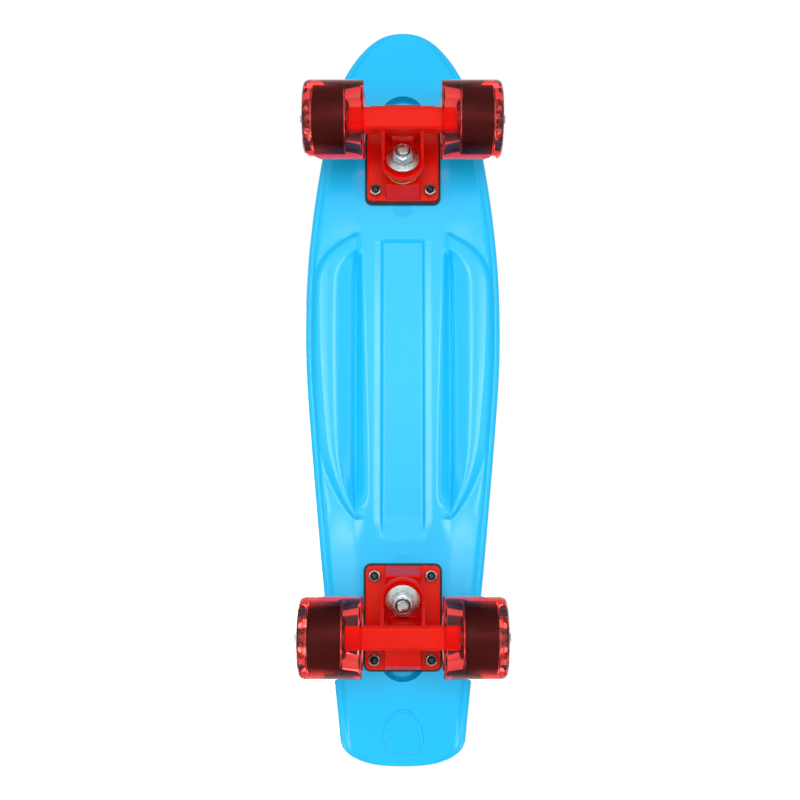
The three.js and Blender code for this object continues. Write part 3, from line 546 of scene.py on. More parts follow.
def steel_material(name, low, high):
    made = material(name, Metallic=1.0)
    vary_colour(made, noise(made, 260, 3), low, high)
    vary_roughness(made, noise(made, 700, 4, (1, 1, 0.2)), 0.22, 0.34)
    bump(made, noise(made, 500, 2), 0.00001, 0.03)
    return made


def dark_plastic(name, low, high):
    made = material(name)
    vary_colour(made, noise(made, 150, 3), low, high)
    vary_roughness(made, noise(made, 500, 3), 0.38, 0.55)
    bump(made, noise(made, 1300, 2), 0.00004, 0.4)
    return made


def wheel_material():
    """Clear-tinted urethane: refracting, and redder the longer the way through it."""
    made = material("wheel_urethane", Transmission_Weight=1.0, IOR=1.49, Specular_Tint=(0.36, 0.14, 0.12))
    vary_colour(made, noise(made, 60, 2), (0.98, 0.6, 0.56), (1.0, 0.64, 0.6))
    vary_roughness(made, noise(made, 300, 3), 0.01, 0.05)
    bump(made, noise(made, 220, 2), 0.00003, 0.4)
    nodes, links = made.node_tree.nodes, made.node_tree.links
    light = nodes.new("ShaderNodeLightPath")
    through = nodes.new("ShaderNodeBsdfTransparent")
    through.inputs["Color"].default_value = (0.95, 0.45, 0.4, 1)
    solid = nodes["Principled BSDF"].outputs["BSDF"]
    in_shadow = light.outputs["Is Shadow Ray"]
    mix_shaders(made.node_tree, in_shadow, solid, through.outputs["BSDF"], "Material Output")
    depth = nodes.new("ShaderNodeVolumeAbsorption")
    depth.inputs["Color"].default_value = (0.93, 0, 0, 1)
    depth.inputs["Density"].default_value = 70
    links.new(depth.outputs["Volume"], nodes["Material Output"].inputs["Volume"])
    return made


MATERIALS = {
    "deck_plastic": deck_material(),
    "truck_paint": paint_material(),
    "riser_rubber": rubber_material(),
    "bushing_urethane": bushing_material(),
    "wheel_urethane": wheel_material(),
    "core_plastic": dark_plastic("core_plastic", (0.007, 0.003, 0.003), (0.012, 0.006, 0.006)),
    "cup_plastic": dark_plastic("cup_plastic", (0.012, 0.012, 0.015), (0.03, 0.03, 0.035)),
    "nylon": dark_plastic("nylon", (0.006, 0.008, 0.016), (0.012, 0.016, 0.028)),
    "steel": steel_material("steel", (0.5, 0.53, 0.54), (0.64, 0.66, 0.66)),
    "bearing_steel": steel_material("bearing_steel", (0.5, 0.5, 0.52), (0.66, 0.66, 0.68)),
    "black_steel": steel_material("black_steel", (0.02, 0.02, 0.022), (0.05, 0.05, 0.052)),
    "dark_zinc": steel_material("dark_zinc", (0.2, 0.21, 0.2), (0.32, 0.33, 0.3)),
    "zinc": steel_material("zinc", (0.75, 0.5, 0.12), (0.72, 0.72, 0.3)),
}


# The deck and its surface


def hermite(table, position):
    """A smooth curve through (position, value) pairs."""
    i = 0
    while i < len(table) - 2 and position > table[i + 1][0]:
        i += 1
    a, b = table[i], table[i + 1]
    before = table[i - 1] if i > 0 else a
    after = table[i + 2] if i + 2 < len(table) else b
    span = b[0] - a[0]
    slope_a = (b[1] - before[1]) / (b[0] - before[0])
    slope_b = (after[1] - a[1]) / (after[0] - a[0])
    t = (position - a[0]) / span
    ends = a[1] * (2 * t**3 - 3 * t**2 + 1) + b[1] * (3 * t**2 - 2 * t**3)
    return ends + span * (slope_a * (t**3 - 2 * t**2 + t) + slope_b * (t**3 - t**2))


def smoothstep(value, low, high):
    t = np.clip((value - low) / (high - low), 0, 1)
    return t * t * (3 - 2 * t)


def ramp(value, low, high, soft):
    """A straight rise from 0 to 1 whose two corners are rounded."""
    t = (value - low) / (high - low)

    def corner(u):
        return np.where(u < -soft, 0, np.where(u > soft, u, (u + soft) ** 2 / (4 * soft)))

    return corner(t) - corner(t - 1)


def round_end(into, length, power, root):
    share = min(max(into / length, 0), 1)
    return (1 - share**power) ** (1 / root)


def half_width(y):
    body = DECK_WIDTH / 2 * hermite(OUTLINE_SHARES, (y - TAIL_END) / DECK_LENGTH)
    tail = round_end((TAIL_END + TAIL_ROUND[0] - y) * END_CAP_SHARE, *TAIL_ROUND)
    nose = round_end((y - NOSE_END + NOSE_ROUND[0]) * END_CAP_SHARE, *NOSE_ROUND)
    return body * tail * nose


def kick(into, length, blend, angle):
    slope = math.tan(math.radians(angle))
    into += length
    if into <= 0:
        return 0
    return slope * into**2 / (2 * blend) if into < blend else slope * (into - blend / 2)


def deck_top(y):
    return DECK_TOP + kick(TAIL_END - y, *TAIL_KICK) + kick(y - NOSE_END, *NOSE_KICK)


def ridge_line(y, share, ends):
    """A ridge line beside the platform, from its width in the middle to nothing at both ends."""
    (rear, rear_round), (front, front_round) = ends
    full = (half_width(y) - LEDGE - PLATFORM_FOOT) * share
    at_front = round_end(y - front + front_round, front_round, *RIDGE_FRONT)
    at_rear = round_end(rear + rear_round - y, rear_round, *RIDGE_REAR)
    return PLATFORM_FOOT + full * at_front * at_rear


def pad_share(y):
    front = smoothstep(y, PAD_STARTS[1], PAD_STARTS[1] + PAD_SLOPE)
    rear = 1 - smoothstep(y, PAD_STARTS[0] - PAD_SLOPE, PAD_STARTS[0])
    return float(max(front, rear))


def platform_edge(y):
    edge = float(np.interp(y, PLATFORM_ENDS, (PLATFORM_REAR, PLATFORM_FRONT)))
    return edge + (PLATFORM_FRONT - edge) * pad_share(y)


def closing_line(share, ends):
    """A ridge line as points from its rear end to its front end."""
    (rear, _), (front, _) = ends
    places = (rear + front) / 2 - (front - rear) / 2 * np.cos(np.linspace(0, math.pi, 160))
    return np.array([(ridge_line(y, share, ends), y) for y in places])


FOOT_LINE = closing_line(1, FOOT_ENDS)
CREST_LINE = closing_line(CREST_SHARE, CREST_ENDS)


def distance_to(line, x, y):
    """The distance from each of the places (x, y) to a line of points."""
    start, step = line[:-1], np.diff(line, axis=0)
    away = np.stack([x, np.full(len(x), y)], -1)[:, None] - start
    share = np.clip((away * step).sum(-1) / (step * step).sum(-1), 0, 1)
    return np.linalg.norm(away - share[..., None] * step, axis=-1).min(1)


def soft_line(x, keys):
    """A line through (place, value, rounding) keys with its corners rounded."""
    out = np.full(np.shape(x), float(keys[0][1]))
    slope, span = 0.0, 1e9
    for (place, value, soft), following in zip(keys, [*keys[1:], None]):
        next_span = following[0] - place if following else 1e9
        next_slope = (following[1] - value) / next_span if following else 0.0
        reach = max(min(soft, span / 2, next_span / 2), 1e-3)
        u = x - place
        hinge = np.where(u < -reach, 0, np.where(u > reach, u, (u + reach) ** 2 / (4 * reach)))
        out = out + (next_slope - slope) * hinge
        slope, span = next_slope, next_span
    return out


def edge_share(y):
    """How far the ridge's broad top reaches from its crest towards its foot."""
    return float(np.interp(y, *RIDGE_EDGE_SHARES))


def ridge_thickness(x, y):
    """The D-shaped ridge beside the platform: steep foot, broad top, crest and inner facet."""
    crest = ridge_line(y, CREST_SHARE, CREST_ENDS)
    to_foot, to_crest = distance_to(FOOT_LINE, x, y), distance_to(CREST_LINE, x, y)
    outside = -to_foot / 16
    top = to_foot / (to_foot + to_crest + 1e-6)
    inside = 1 + to_crest / (to_crest + x - PLATFORM_FOOT + 1e-6)
    across = np.where(x < crest, inside, np.where(x < ridge_line(y, 1, FOOT_ENDS), top, outside))
    closing = 1 - float(smoothstep(crest - PLATFORM_FOOT, 0, VALLEY_FADE))
    valley = SKIN + (CREST_THICKNESS - VALLEY_DROP - SKIN) * closing
    knee = valley + (CREST_THICKNESS - valley) * KNEE_RISE
    keys = [
        (-1, FIELD, 0.05),
        (0, FIELD, 0.05),
        (1 - edge_share(y), RIDGE_EDGE_THICKNESS, 0.1),
        (1, CREST_THICKNESS, 0.28),
        (2 - KNEE_SHARE, knee, 0.1),
        (2, valley, 0.05),
    ]
    return soft_line(across, keys)


ACROSS = np.arange(0, DECK_WIDTH / 2 + 2, 0.25)
SOFTEN = np.array([1, 2, 3, 2, 1]) / 9


def ribbed_profile(y):
    """The thickness across the deck at the places ACROSS, without the thinner rim."""
    pad = pad_share(y)
    nose = smoothstep(y, NOSE_END - NOSE_KICK[0], NOSE_END)
    off_tail = smoothstep(y, TAIL_END, TAIL_END + TAIL_KICK[0])
    ends = nose + 1 - off_tail
    middle = PAD_THICKNESS + (END_THICKNESS - PAD_THICKNESS) * ends
    flank = smoothstep(ACROSS, PLATFORM_FRONT, max(half_width(y) - LEDGE, PLATFORM_FRONT + 0.01))
    over_truck = middle + (min(FIELD, middle) - middle) * flank
    if pad == 1:
        return over_truck
    beside = FIELD + (over_truck - FIELD) * pad
    places = np.maximum(ACROSS, PLATFORM_FOOT)
    ridge = (ridge_thickness(places, y) - FIELD) * (CREST_THICKNESS - beside) / (CREST_THICKNESS - FIELD)
    outer = beside + ridge
    low, high = CHANNEL_ENDS
    channel = ramp(y, low, low + CHANNEL_SLOPES[0], 0.25) * (1 - ramp(y, high - CHANNEL_SLOPES[1], high, 0.2))
    floor = PAD_THICKNESS - CHANNEL_DEPTH * float(channel)
    foot_level = float(np.interp(PLATFORM_FOOT, ACROSS, outer))
    edge_soft = float(np.interp(y, PLATFORM_ENDS, (3.6, 0.9)))
    keys = [
        (0, floor, 0.1),
        (CHANNEL[0], floor, 0.3),
        (CHANNEL[0] + CHANNEL_STEP, PAD_THICKNESS - CHANNEL_RAMP * float(channel), 0.4),
        (CHANNEL[1], PAD_THICKNESS, 2),
        (platform_edge(y), PAD_THICKNESS, edge_soft),
        (PLATFORM_FOOT, foot_level, 0.1),
    ]
    profile = np.where(ACROSS < PLATFORM_FOOT, soft_line(ACROSS, keys), outer)
    wide = np.concatenate([profile[2:0:-1], profile, profile[-1:], profile[-1:]])
    return np.convolve(wide, SOFTEN, "valid")


def deck_thickness(x, y):
    half = half_width(y)
    inner = np.interp(x, ACROSS, ribbed_profile(y))
    band = LEDGE + (EDGE_BAND - LEDGE) * pad_share(y)
    return inner + (RIM_THICKNESS - inner) * smoothstep(x, half - band - 1.5, half - RIM_ROUND)


def grip_marks(reach):
    """Places of the groove edges of the moulded grip, from the middle out."""
    inner, outer = GRIP_GROOVE
    marks = [0.0]
    for k in range(int(reach / GRIP_PITCH) + 2):
        centre = (k + 0.5) * GRIP_PITCH
        marks += [centre - outer, centre - inner, centre + inner, centre + outer]
    return [m for m in marks if m <= reach]


def in_groove(value):
    """How deep in a groove a place is, from 0 on the grip's face to 1."""
    offset = abs((value % GRIP_PITCH) - GRIP_PITCH / 2)
    return np.clip((GRIP_GROOVE[1] - offset) / (GRIP_GROOVE[1] - GRIP_GROOVE[0]), 0, 1)


def deck_stations():
    """Places along the deck: groove edges, fine steps at the ribs' ends and round the tips."""
    marks = grip_marks(NOSE_END)
    marks = [m for v in marks for m in (-v, v)]
    fine = [*CHANNEL_ENDS, *(end for end, _ in (*FOOT_ENDS, *CREST_ENDS))]
    for end in fine:
        marks += list(np.arange(end - 12, end + 12, 0.7))
    for end, inward, (length, power, root) in ((TAIL_END, 1, TAIL_ROUND), (NOSE_END, -1, NOSE_ROUND)):
        shares = [(1 - w**root) ** (1 / power) for w in np.linspace(1, 0.02, 60)]
        marks += [end + inward * length * (1 - s) for s in shares] + [end]
    marks = sorted(m for m in set(marks) if TAIL_END <= m <= NOSE_END)
    kept = [marks[0]]
    for m in marks[1:-1]:
        if m - kept[-1] > 0.12 and marks[-1] - m > 0.12:
            kept.append(m)
    return [*kept, marks[-1]]


def under_lines(y, edge):
    """Places across the underside, close together at the ribs' edges, which they follow."""
    foot = ridge_line(y, 1, FOOT_ENDS)
    crest = ridge_line(y, CREST_SHARE, CREST_ENDS)
    rise = float(smoothstep(foot - PLATFORM_FOOT, 0, RIDGE_FADE))
    ledge = max(foot, half_width(y) - LEDGE)
    knee = PLATFORM_FOOT + KNEE_SHARE * (crest - PLATFORM_FOOT)
    places = [0, *CHANNEL, platform_edge(y), PLATFORM_FOOT]
    for x, share in zip((knee, crest, crest + edge_share(y) * (foot - crest), foot), SPREAD_SHARES):
        spread_place = PLATFORM_FOOT + (ledge - PLATFORM_FOOT) * share
        places.append(spread_place + (x - spread_place) * rise)
    places += [ledge, edge]
    last = len(places) - 1
    gap = min(1, edge / last / 2)
    for i in range(1, last):
        places[i] = max(places[i], places[i - 1] + gap)
    for i in range(last - 1, 0, -1):
        places[i] = min(places[i], places[i + 1] - gap)
    out = []
    for a, b, steps in zip(places, places[1:], UNDER_STEPS):
        out += [a + (b - a) * (1 - math.cos(math.pi * k / steps)) / 2 for k in range(steps)]
    return np.array([*out, edge])


def top_lines(edge):
    """Places across the top: groove edges, then even steps to the rim."""
    marks = np.array(grip_marks(DECK_WIDTH / 2 - GRIP_MARGIN))
    limit = max(edge - GRIP_MARGIN, 0)
    held = marks[marks <= limit]
    extra = len(marks) - len(held) + GRIP_LINES
    return np.concatenate([held, np.linspace(held[-1], edge, extra + 1)[1:]]), limit


def deck_section(y):
    """A closed loop of (x, z) round the deck at one place along it."""
    half = half_width(y)
    edge = half - min(RIM_ROUND, half / 2)
    top = deck_top(y)
    under = under_lines(y, edge)
    low = top - deck_thickness(under, y)
    angles = np.linspace(-math.pi / 2, math.pi / 2, 11)[1:-1]
    middle, rise = (top + low[-1]) / 2, (top - low[-1]) / 2
    rim = [(edge + (half - edge) * math.cos(a) ** 0.8, middle + rise * math.sin(a)) for a in angles]
    across, limit = top_lines(edge)
    grip = GRIP_DEPTH * np.maximum(in_groove(across), in_groove(y)) * (across <= limit)
    grip = grip * (abs(y) < NOSE_END - GRIP_MARGIN)
    right = list(zip(under, low)) + rim + list(zip(across, top - grip))[::-1]
    left = [(-x, z) for x, z in right[1:-1]][::-1]
    return right + left


# Right half of the raised loop under the tail, as places (x, y)
TAIL_BEAD = [
    (0, -243.2), (4.6, -244.3), (8.8, -248.2), (12, -254.5), (13.9, -262),
    (14.5, -269), (13.4, -273.6), (10.2, -275.6), (5, -276), (0, -276),
]
TAIL_BEAD_RADIUS = 1.3
TAIL_BEAD_SINK = 0.5
BEAD_SIDES = 16


def closed_curve(points, steps):
    """A smooth loop through points (Catmull-Rom)."""
    points = np.array(points, float)
    out = []
    for i in range(len(points)):
        a, b, c, d = (points[(i + k) % len(points)] for k in (-1, 0, 1, 2))
        for t in np.arange(steps) / steps:
            square, cube = 2 * a - 5 * b + 4 * c - d, 3 * b - a - 3 * c + d
            out.append(0.5 * (2 * b + (c - a) * t + square * t**2 + cube * t**3))
    return np.array(out)


def deck_bottom(x, y):
    return deck_top(y) - float(deck_thickness(abs(x), y))


def make_tail_bead():
    """The thin raised loop on the tail's underside."""
    mirrored = [(-x, y) for x, y in TAIL_BEAD[-2:0:-1]]
    loop = closed_curve(TAIL_BEAD + mirrored, 8)
    centres = np.array([(x, y, deck_bottom(x, y) + TAIL_BEAD_SINK) for x, y in loop])
    along = np.roll(centres, -1, 0) - np.roll(centres, 1, 0)
    along /= np.linalg.norm(along, axis=1)[:, None]
    side = np.cross(along, (0, 0, 1))
    side /= np.linalg.norm(side, axis=1)[:, None]
    up = np.cross(side, along)
    angles = np.arange(BEAD_SIDES) * 2 * math.pi / BEAD_SIDES
    ring = side[:, None] * np.cos(angles)[:, None] + up[:, None] * np.sin(angles)[:, None]
    points = centres[:, None] + ring * TAIL_BEAD_RADIUS
    faces = grid_faces(len(centres), BEAD_SIDES, wrap_rows=True, wrap_columns=True)
    bead = build("deck_tail_bead", [(points.reshape(-1, 3), faces)])
    finish_piece(bead, np.eye(4), "deck_plastic", "board", angle=60)


def dish(y, radius, depth):
    """A cutter for a shallow round recess in the underside."""
    ball = (radius**2 + depth**2) / (2 * depth)
    level = PAD_LEVEL + depth - ball
    reach = math.asin(radius / ball) * 1.15
    arc = [(ball * math.sin(a), level + ball * math.cos(a)) for a in np.linspace(0, reach, 20)]
    low = PAD_LEVEL - CUT_OVERRUN
    return placed(lathe([*arc, (arc[-1][0], low), (0, low)], 96, 0), move(0, y, 0))


def recess(y, radius, depth):
    """A cutter for a round recess with a flat floor and a sloping wall."""
    low, high = PAD_LEVEL - CUT_OVERRUN, PAD_LEVEL + depth
    profile = [(0, low), (radius, low), (radius, PAD_LEVEL), (radius - RECESS_WALL, high), (0, high)]
    return placed(lathe(profile, 96, 1.5), move(0, y, 0))


def make_deck():
    stations = deck_stations()
    loops = np.array([[(x, y, z) for x, z in deck_section(y)] for y in stations])
    rows, columns, _ = loops.shape
    faces = grid_faces(rows, columns, wrap_columns=True)
    faces += [list(range(columns)), list(range((rows - 1) * columns, rows * columns))[::-1]]
    deck = build("deck_shell", [(loops.reshape(-1, 3), faces)])
    head = BOLT_HEAD_RADIUS + 0.4
    hole = BOLT_RADIUS + 0.4
    low, high = PAD_LEVEL - 5, DECK_TOP + 5
    profile = [(0, low), (hole, low), (hole, DECK_TOP - 2.6), (head, DECK_TOP), (head, high), (0, high)]
    cutters = []
    for y in (FRONT_TRUCK_Y, REAR_TRUCK_Y):
        for sx in (-BOLT_X, BOLT_X):
            for sy in (-BOLT_Y, BOLT_Y):
                cutters.append(placed(lathe(profile, 40, 0), move(sx, y + sy, 0)))
    cutters += [recess(y, *RECESS) for y in RECESS_PLACES]
    cutters += [dish(y, *DIMPLE) for y in DIMPLE_PLACES]
    carve(deck, cutters)
    finish_piece(deck, np.eye(4), "deck_plastic", "board", ["deck"], 40)


# The pieces of the trucks and wheels


def make_riser(end, frame_of):
    outline = rounded_rectangle(*RISER_SIZE)
    pad = build(end + "_riser", [slab(outline, -RISER, -GAP)])
    work = pad.modifiers.new("edge", "BEVEL")
    work.width = 0.5
    work.segments = 3
    work.limit_method = "ANGLE"
    settle(pad)
    holes = [bolt_hole(x, y, -RISER - 2, 2) for x, y in bolt_places()]
    carve(pad, holes)
    finish_piece(pad, frame_of, "riser_rubber", "board", [end + "_riser_pad"])


def bolt_places():
    return [(x, y) for y in (-BOLT_Y, BOLT_Y) for x in (-BOLT_X, BOLT_X)]


def bolt_hole(x, y, low, high):
    return placed(rod(BOLT_HOLE, low, high, 32), move(x, y, 0))


def baseplate_spine():
    seat = 13.3
    inner, outer = from_kingpin(-seat, PEDESTAL_SEAT), from_kingpin(seat, PEDESTAL_SEAT)
    reach = 5.5 + GAP + 1.8 + GAP + 2.2
    mouth_board = from_kingpin(PIVOT_DISTANCE, STEER_CENTRE + 5.5)
    mouth_road = from_kingpin(PIVOT_DISTANCE, STEER_CENTRE - reach)
    saddle = PLATE_FACE - 1.5
    half = 38 - GAP
    outline = [
        (-half, PLATE_TOP - GAP),
        (-half, PLATE_FACE),
        inner,
        outer,
        ((outer[0] + mouth_board[0]) / 2 - 5, saddle),
        (mouth_board[0] - GAP, saddle),
        mouth_board,
        mouth_road,
        (mouth_road[0] + 7.5, mouth_road[1] + 2.5),
        (half - 2.8, PLATE_FACE - 9.7),
        (half, PLATE_FACE),
        (half, PLATE_TOP - GAP),
    ]
    return prism(outline, 26)


def make_baseplate(end, frame_of):
    flat = slab(rounded_rectangle(*PLATE_SIZE), PLATE_FACE, PLATE_TOP)
    plate = build(end + "_plate", [flat, baseplate_spine()])
    remesh(plate)
    kingpin_hole = rod(KINGPIN_BORE, 0, 40, 48)
    head_room = rod(8.6, KINGPIN_HEAD - GAP, 69, 48)
    cup_room = rod(7.9, 31, 46.7, 64)
    holes = [bolt_hole(x, y, PLATE_FACE - 5, 5) for x, y in bolt_places()]
    rooms = [placed(kingpin_hole, KINGPIN_FRAME), placed(head_room, KINGPIN_FRAME)]
    carve(plate, [*holes, *rooms, placed(cup_room, PIVOT_FRAME)])
    remesh(plate, CAST_SMOOTHING)
    finish_piece(plate, frame_of, "truck_paint", "board", [end + "_baseplate"], CAST_ANGLE)


def chamfered(low, high, inner, outer, chamfer):
    """A rectangle in Y and Z with its corners cut off."""
    near, far = inner + chamfer, outer - chamfer
    right = [(outer, low + chamfer), (outer, high - chamfer)]
    left = [(inner, high - chamfer), (inner, low + chamfer)]
    return [(near, low), (far, low), *right, (far, high), (near, high), *left]


def make_hanger(end, frame_of):
    low, high = -AXLE_DEPTH - 6, -AXLE_DEPTH + 8.5
    inner, outer = AXLE_SETBACK - 8.5, AXLE_SETBACK + 8.5
    beam = prism(chamfered(low, high, inner, outer, 1.8), 2 * HANGER_HALF)
    radius, wall = 15.75, 2.5
    reach = (inner - from_kingpin(0, YOKE_RIM)[0]) / math.cos(math.radians(KINGPIN_TILT))
    arc = [(radius * math.cos(a), radius * math.sin(a)) for a in np.linspace(math.pi, 2 * math.pi, 49)]
    plate = slab([(radius, reach + 5), (-radius, reach + 5), *arc], YOKE_RIM, YOKE_BACK)
    start, foot = from_kingpin(3, YOKE_RIM), from_kingpin(3, YOKE_BACK - GAP)
    side = [start, (inner + 1.8, low + 1.8 + 3), (inner + 1.8, foot[1]), foot]
    gussets = [prism(side, wall, hand * (radius - wall / 2)) for hand in (-1, 1)]
    wall_reach = (inner + 12.9) / math.cos(math.radians(KINGPIN_TILT))
    at_wall = from_kingpin(wall_reach, YOKE_BACK - GAP)[1]
    top = high - 1.8
    back = prism([(inner, top), (inner + 5, top), (inner + 5, at_wall), (inner, at_wall)], 2 * radius)
    neck_end = PIVOT_DISTANCE - 1.8
    neck_start = neck_end - 10
    arm = prism(
        [
            (inner + 1.5, top),
            (outer - 1.5, top),
            from_kingpin(neck_end, STEER_CENTRE - 7),
            from_kingpin(neck_start, STEER_CENTRE + 5.5),
            from_kingpin(neck_start - 10, YOKE_BACK - GAP),
        ],
        17,
    )
    tip = PIVOT_DISTANCE + 8.5
    neck = [(7, neck_start), (7, neck_end), (5.5, neck_end + 0.9)]
    nose = lathe([(0, neck_start), *neck, (5.5, tip - 1.6), (3.9, tip), (0, tip)], 64)
    cast = [beam, placed(plate, KINGPIN_FRAME), *gussets, back, arm, placed(nose, PIVOT_FRAME)]
    hanger = build(end + "_hanger_cast", cast)
    remesh(hanger)
    bowl = rod(radius - wall, -34.5, YOKE_RIM + 1.5, 96, 0.6)
    bowl_cutter = build("bowl", [placed(bowl, KINGPIN_FRAME)])
    cut(bowl_cutter, build("beam", [beam]))
    cut(hanger, bowl_cutter)
    ring = rod(7.6, YOKE_RIM - 5, YOKE_BACK + 5, 64)
    bore = rod(AXLE_BORE, -83, 83, 48)
    axle_line = move(0, AXLE_SETBACK, -AXLE_DEPTH) @ turn("y", 90)
    carve(hanger, [placed(ring, KINGPIN_FRAME), placed(bore, axle_line)])
    remesh(hanger, CAST_SMOOTHING)
    finish_piece(hanger, frame_of, "truck_paint", end + "_truck", [end + "_hanger"], CAST_ANGLE)


def turned_piece(name, parts, frame_of, finish, body, nodes=(), angle=35):
    finish_piece(build(name, parts), frame_of, finish, body, nodes, angle)


def lock_nut(width, low, high, collar, bore):
    """A hexagon nut below a collar, with the collar's nylon ring as its own part."""
    hexagon = spun(hexagon_profile(width, bore, low + collar / 2, high), 96)
    neck = (width / 2 + bore) / 2
    rim = tube(bore + 0.55, neck, low, low + collar, 0.3)
    ring = tube(bore - 0.1, bore + 0.6, low + 0.25, low + collar, 0.15)
    return [hexagon, rim], [ring]


def make_bushing(end, side, profile, frame_of):
    """A bushing spun from its profile, baked in place and given to no body."""
    steps = 6
    loop = rounded(profile, 0.4, 3)
    dense = []
    for a, b in zip(loop, loop[1:] + loop[:1]):
        dense += [a + (b - a) * t for t in np.arange(steps) / steps]
    rubber = build(f"{end}_{side}_rubber", [spun(lambda angle: dense, 96)])
    finish_piece(rubber, frame_of, "bushing_urethane", None, [f"{end}_{side}_bushing"])
    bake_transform(rubber)


def make_kingpin_stack(end, truck):
    frame_of = truck @ KINGPIN_FRAME
    shaft = spun(thread_profile(KINGPIN_RADIUS, -11.5, 1, 1.4, 0.5, 0.9), 72, True)
    plain = rod(4.7, 0.9, KINGPIN_HEAD + 3, 64)
    head = spun(hexagon_profile(KINGPIN_NUT_WIDTH, 0.01, KINGPIN_HEAD, KINGPIN_HEAD + 6), 96)
    turned_piece(end + "_kingpin_bolt", [shaft, plain, head], frame_of, "steel", "board", [end + "_kingpin"])
    nut, ring = lock_nut(KINGPIN_NUT_WIDTH, -9.3, -1.3, 2.2, KINGPIN_BORE)
    turned_piece(end + "_kingpin_lock_nut", nut, frame_of, "steel", "board", [end + "_kingpin_nut"])
    turned_piece(end + "_kingpin_nut_ring", ring, frame_of, "nylon", "board")
    bore = KINGPIN_BORE
    road = [(bore, -1), (8.93, -1), (12.4, -0.3), (12.4, 1), (8.93, 0.3), (bore, 0.3)]
    washer = [lathe(road, 96, 0.35)]
    turned_piece(end + "_road_cup_washer", washer, frame_of, "steel", "board", [end + "_road_washer"])
    low = BOARD_WASHER
    heights = (0.7, 0.7, 0, 1.3, 2, 2)
    board = [(r, low + z) for r, z in zip((bore, 9.36, 13, 13, 9.36, bore), heights)]
    washer = [lathe(board, 96, 0.35)]
    turned_piece(end + "_board_cup_washer", washer, frame_of, "zinc", "board", [end + "_board_washer"])
    road_rubber = [(bore, 1.3), (10.8, 1.3), (10.8, 2.2), (9.6, 5.7), (bore, 5.7)]
    make_bushing(end, "road", road_rubber, frame_of)
    top = YOKE_BACK + GAP
    board_rubber = [(bore, top), (9.6, top), (11.2, top + 3.6), (11.2, top + 4.6), (bore, top + 4.6)]
    make_bushing(end, "board", board_rubber, frame_of)
    cup = [(0, 44.8), (5.8, 44.8), (5.8, 36), (6.7, 36), (7.6, 36.9), (7.6, 46.4), (0, 46.4)]
    bush = [lathe(cup, 64, 0.25)]
    turned_piece(end + "_pivot_bush", bush, truck @ PIVOT_FRAME, "cup_plastic", "board", [end + "_pivot_cup"])


def side_name(end, x):
    return "right" if (x > 0) == (end == "front") else "left"


def make_bolts(end, truck):
    tip = PLATE_FACE - GAP - 5 - 0.6
    top = PAD_THICKNESS - 0.2
    nut_top = PLATE_FACE - GAP
    for x, y in bolt_places():
        place = ("inner_" if y < 0 else "outer_") + side_name(end, x)
        frame_of = truck @ move(x, y, 0)
        thread = spun(thread_profile(BOLT_RADIUS, tip, 1, 0.8, 0.3, 0.5), 40, True)
        socket = [(0, top - 1.5), (1.6, top - 1.5), (1.9, top)]
        socket += [(BOLT_HEAD_RADIUS, top), (BOLT_RADIUS, top - 2.4), (BOLT_RADIUS, 0.9), (0, 0.9)]
        head = lathe(socket[::-1], 64, 0.12)
        name = end + "_screw_" + place
        turned_piece(name, [thread, head], frame_of, "black_steel", "board", [end + "_bolt_" + place])
        nut, ring = lock_nut(BOLT_NUT_WIDTH, nut_top - 5, nut_top, 1.3, 2.7)
        turned_piece(end + "_lock_nut_" + place, nut, frame_of, "dark_zinc", "board", [end + "_nut_" + place])
        turned_piece(end + "_lock_nut_ring_" + place, ring, frame_of, "nylon", "board")


def axle_frame(truck, hand=1):
    """The axle's frame, with Z pointing out of the wheel on one hand of the truck."""
    line = truck @ move(0, AXLE_SETBACK, -AXLE_DEPTH) @ turn("y", 90)
    return line if hand > 0 else line @ turn("x", 180)


def make_axle(end, truck):
    line = axle_frame(truck)
    r = AXLE_RADIUS
    half = [(r, 41.8), (6.2, 41.8), (6.2, 42.6), (r, 42.6), (r, 50.2), (5.6, 50.2), (5.6, 59.6), (r, 59.6)]
    half.append((r, 66))
    middle = lathe([(0, -66), *[(radius, -z) for radius, z in half[::-1]], *half, (0, 66)], 64, 0.1)
    parts = [middle]
    for hand in (0, 180):
        tip = spun(thread_profile(AXLE_RADIUS, -76, -65.9, 1.25, 0.45, 0.7), 64, True)
        parts.append(placed(tip, turn("x", hand)))
    turned_piece(end + "_axle_rod", parts, line, "steel", end + "_truck", [end + "_axle"])
    for hand in (1, -1):
        side = side_name(end, hand)
        start = CORE_OUTER + GAP
        washer = tube(AXLE_BORE, 7.4, start, start + 0.8, 0.15)
        hexagon = spun(hexagon_profile(AXLE_NUT_WIDTH, AXLE_BORE, start + 0.7, start + 6.1), 96)
        collar = tube(4.9, 5.7, start + 5, start + 7, 0.3)
        ring = tube(4.1, 5, start + 5, start + 6.8, 0.15)
        frame_of = axle_frame(truck, hand)
        name = end + "_wheel_nut_" + side
        body = end + "_truck"
        turned_piece(name, [washer, hexagon, collar], frame_of, "steel", body, [end + "_axle_nut_" + side])
        turned_piece(name + "_ring", [ring], frame_of, "nylon", body)


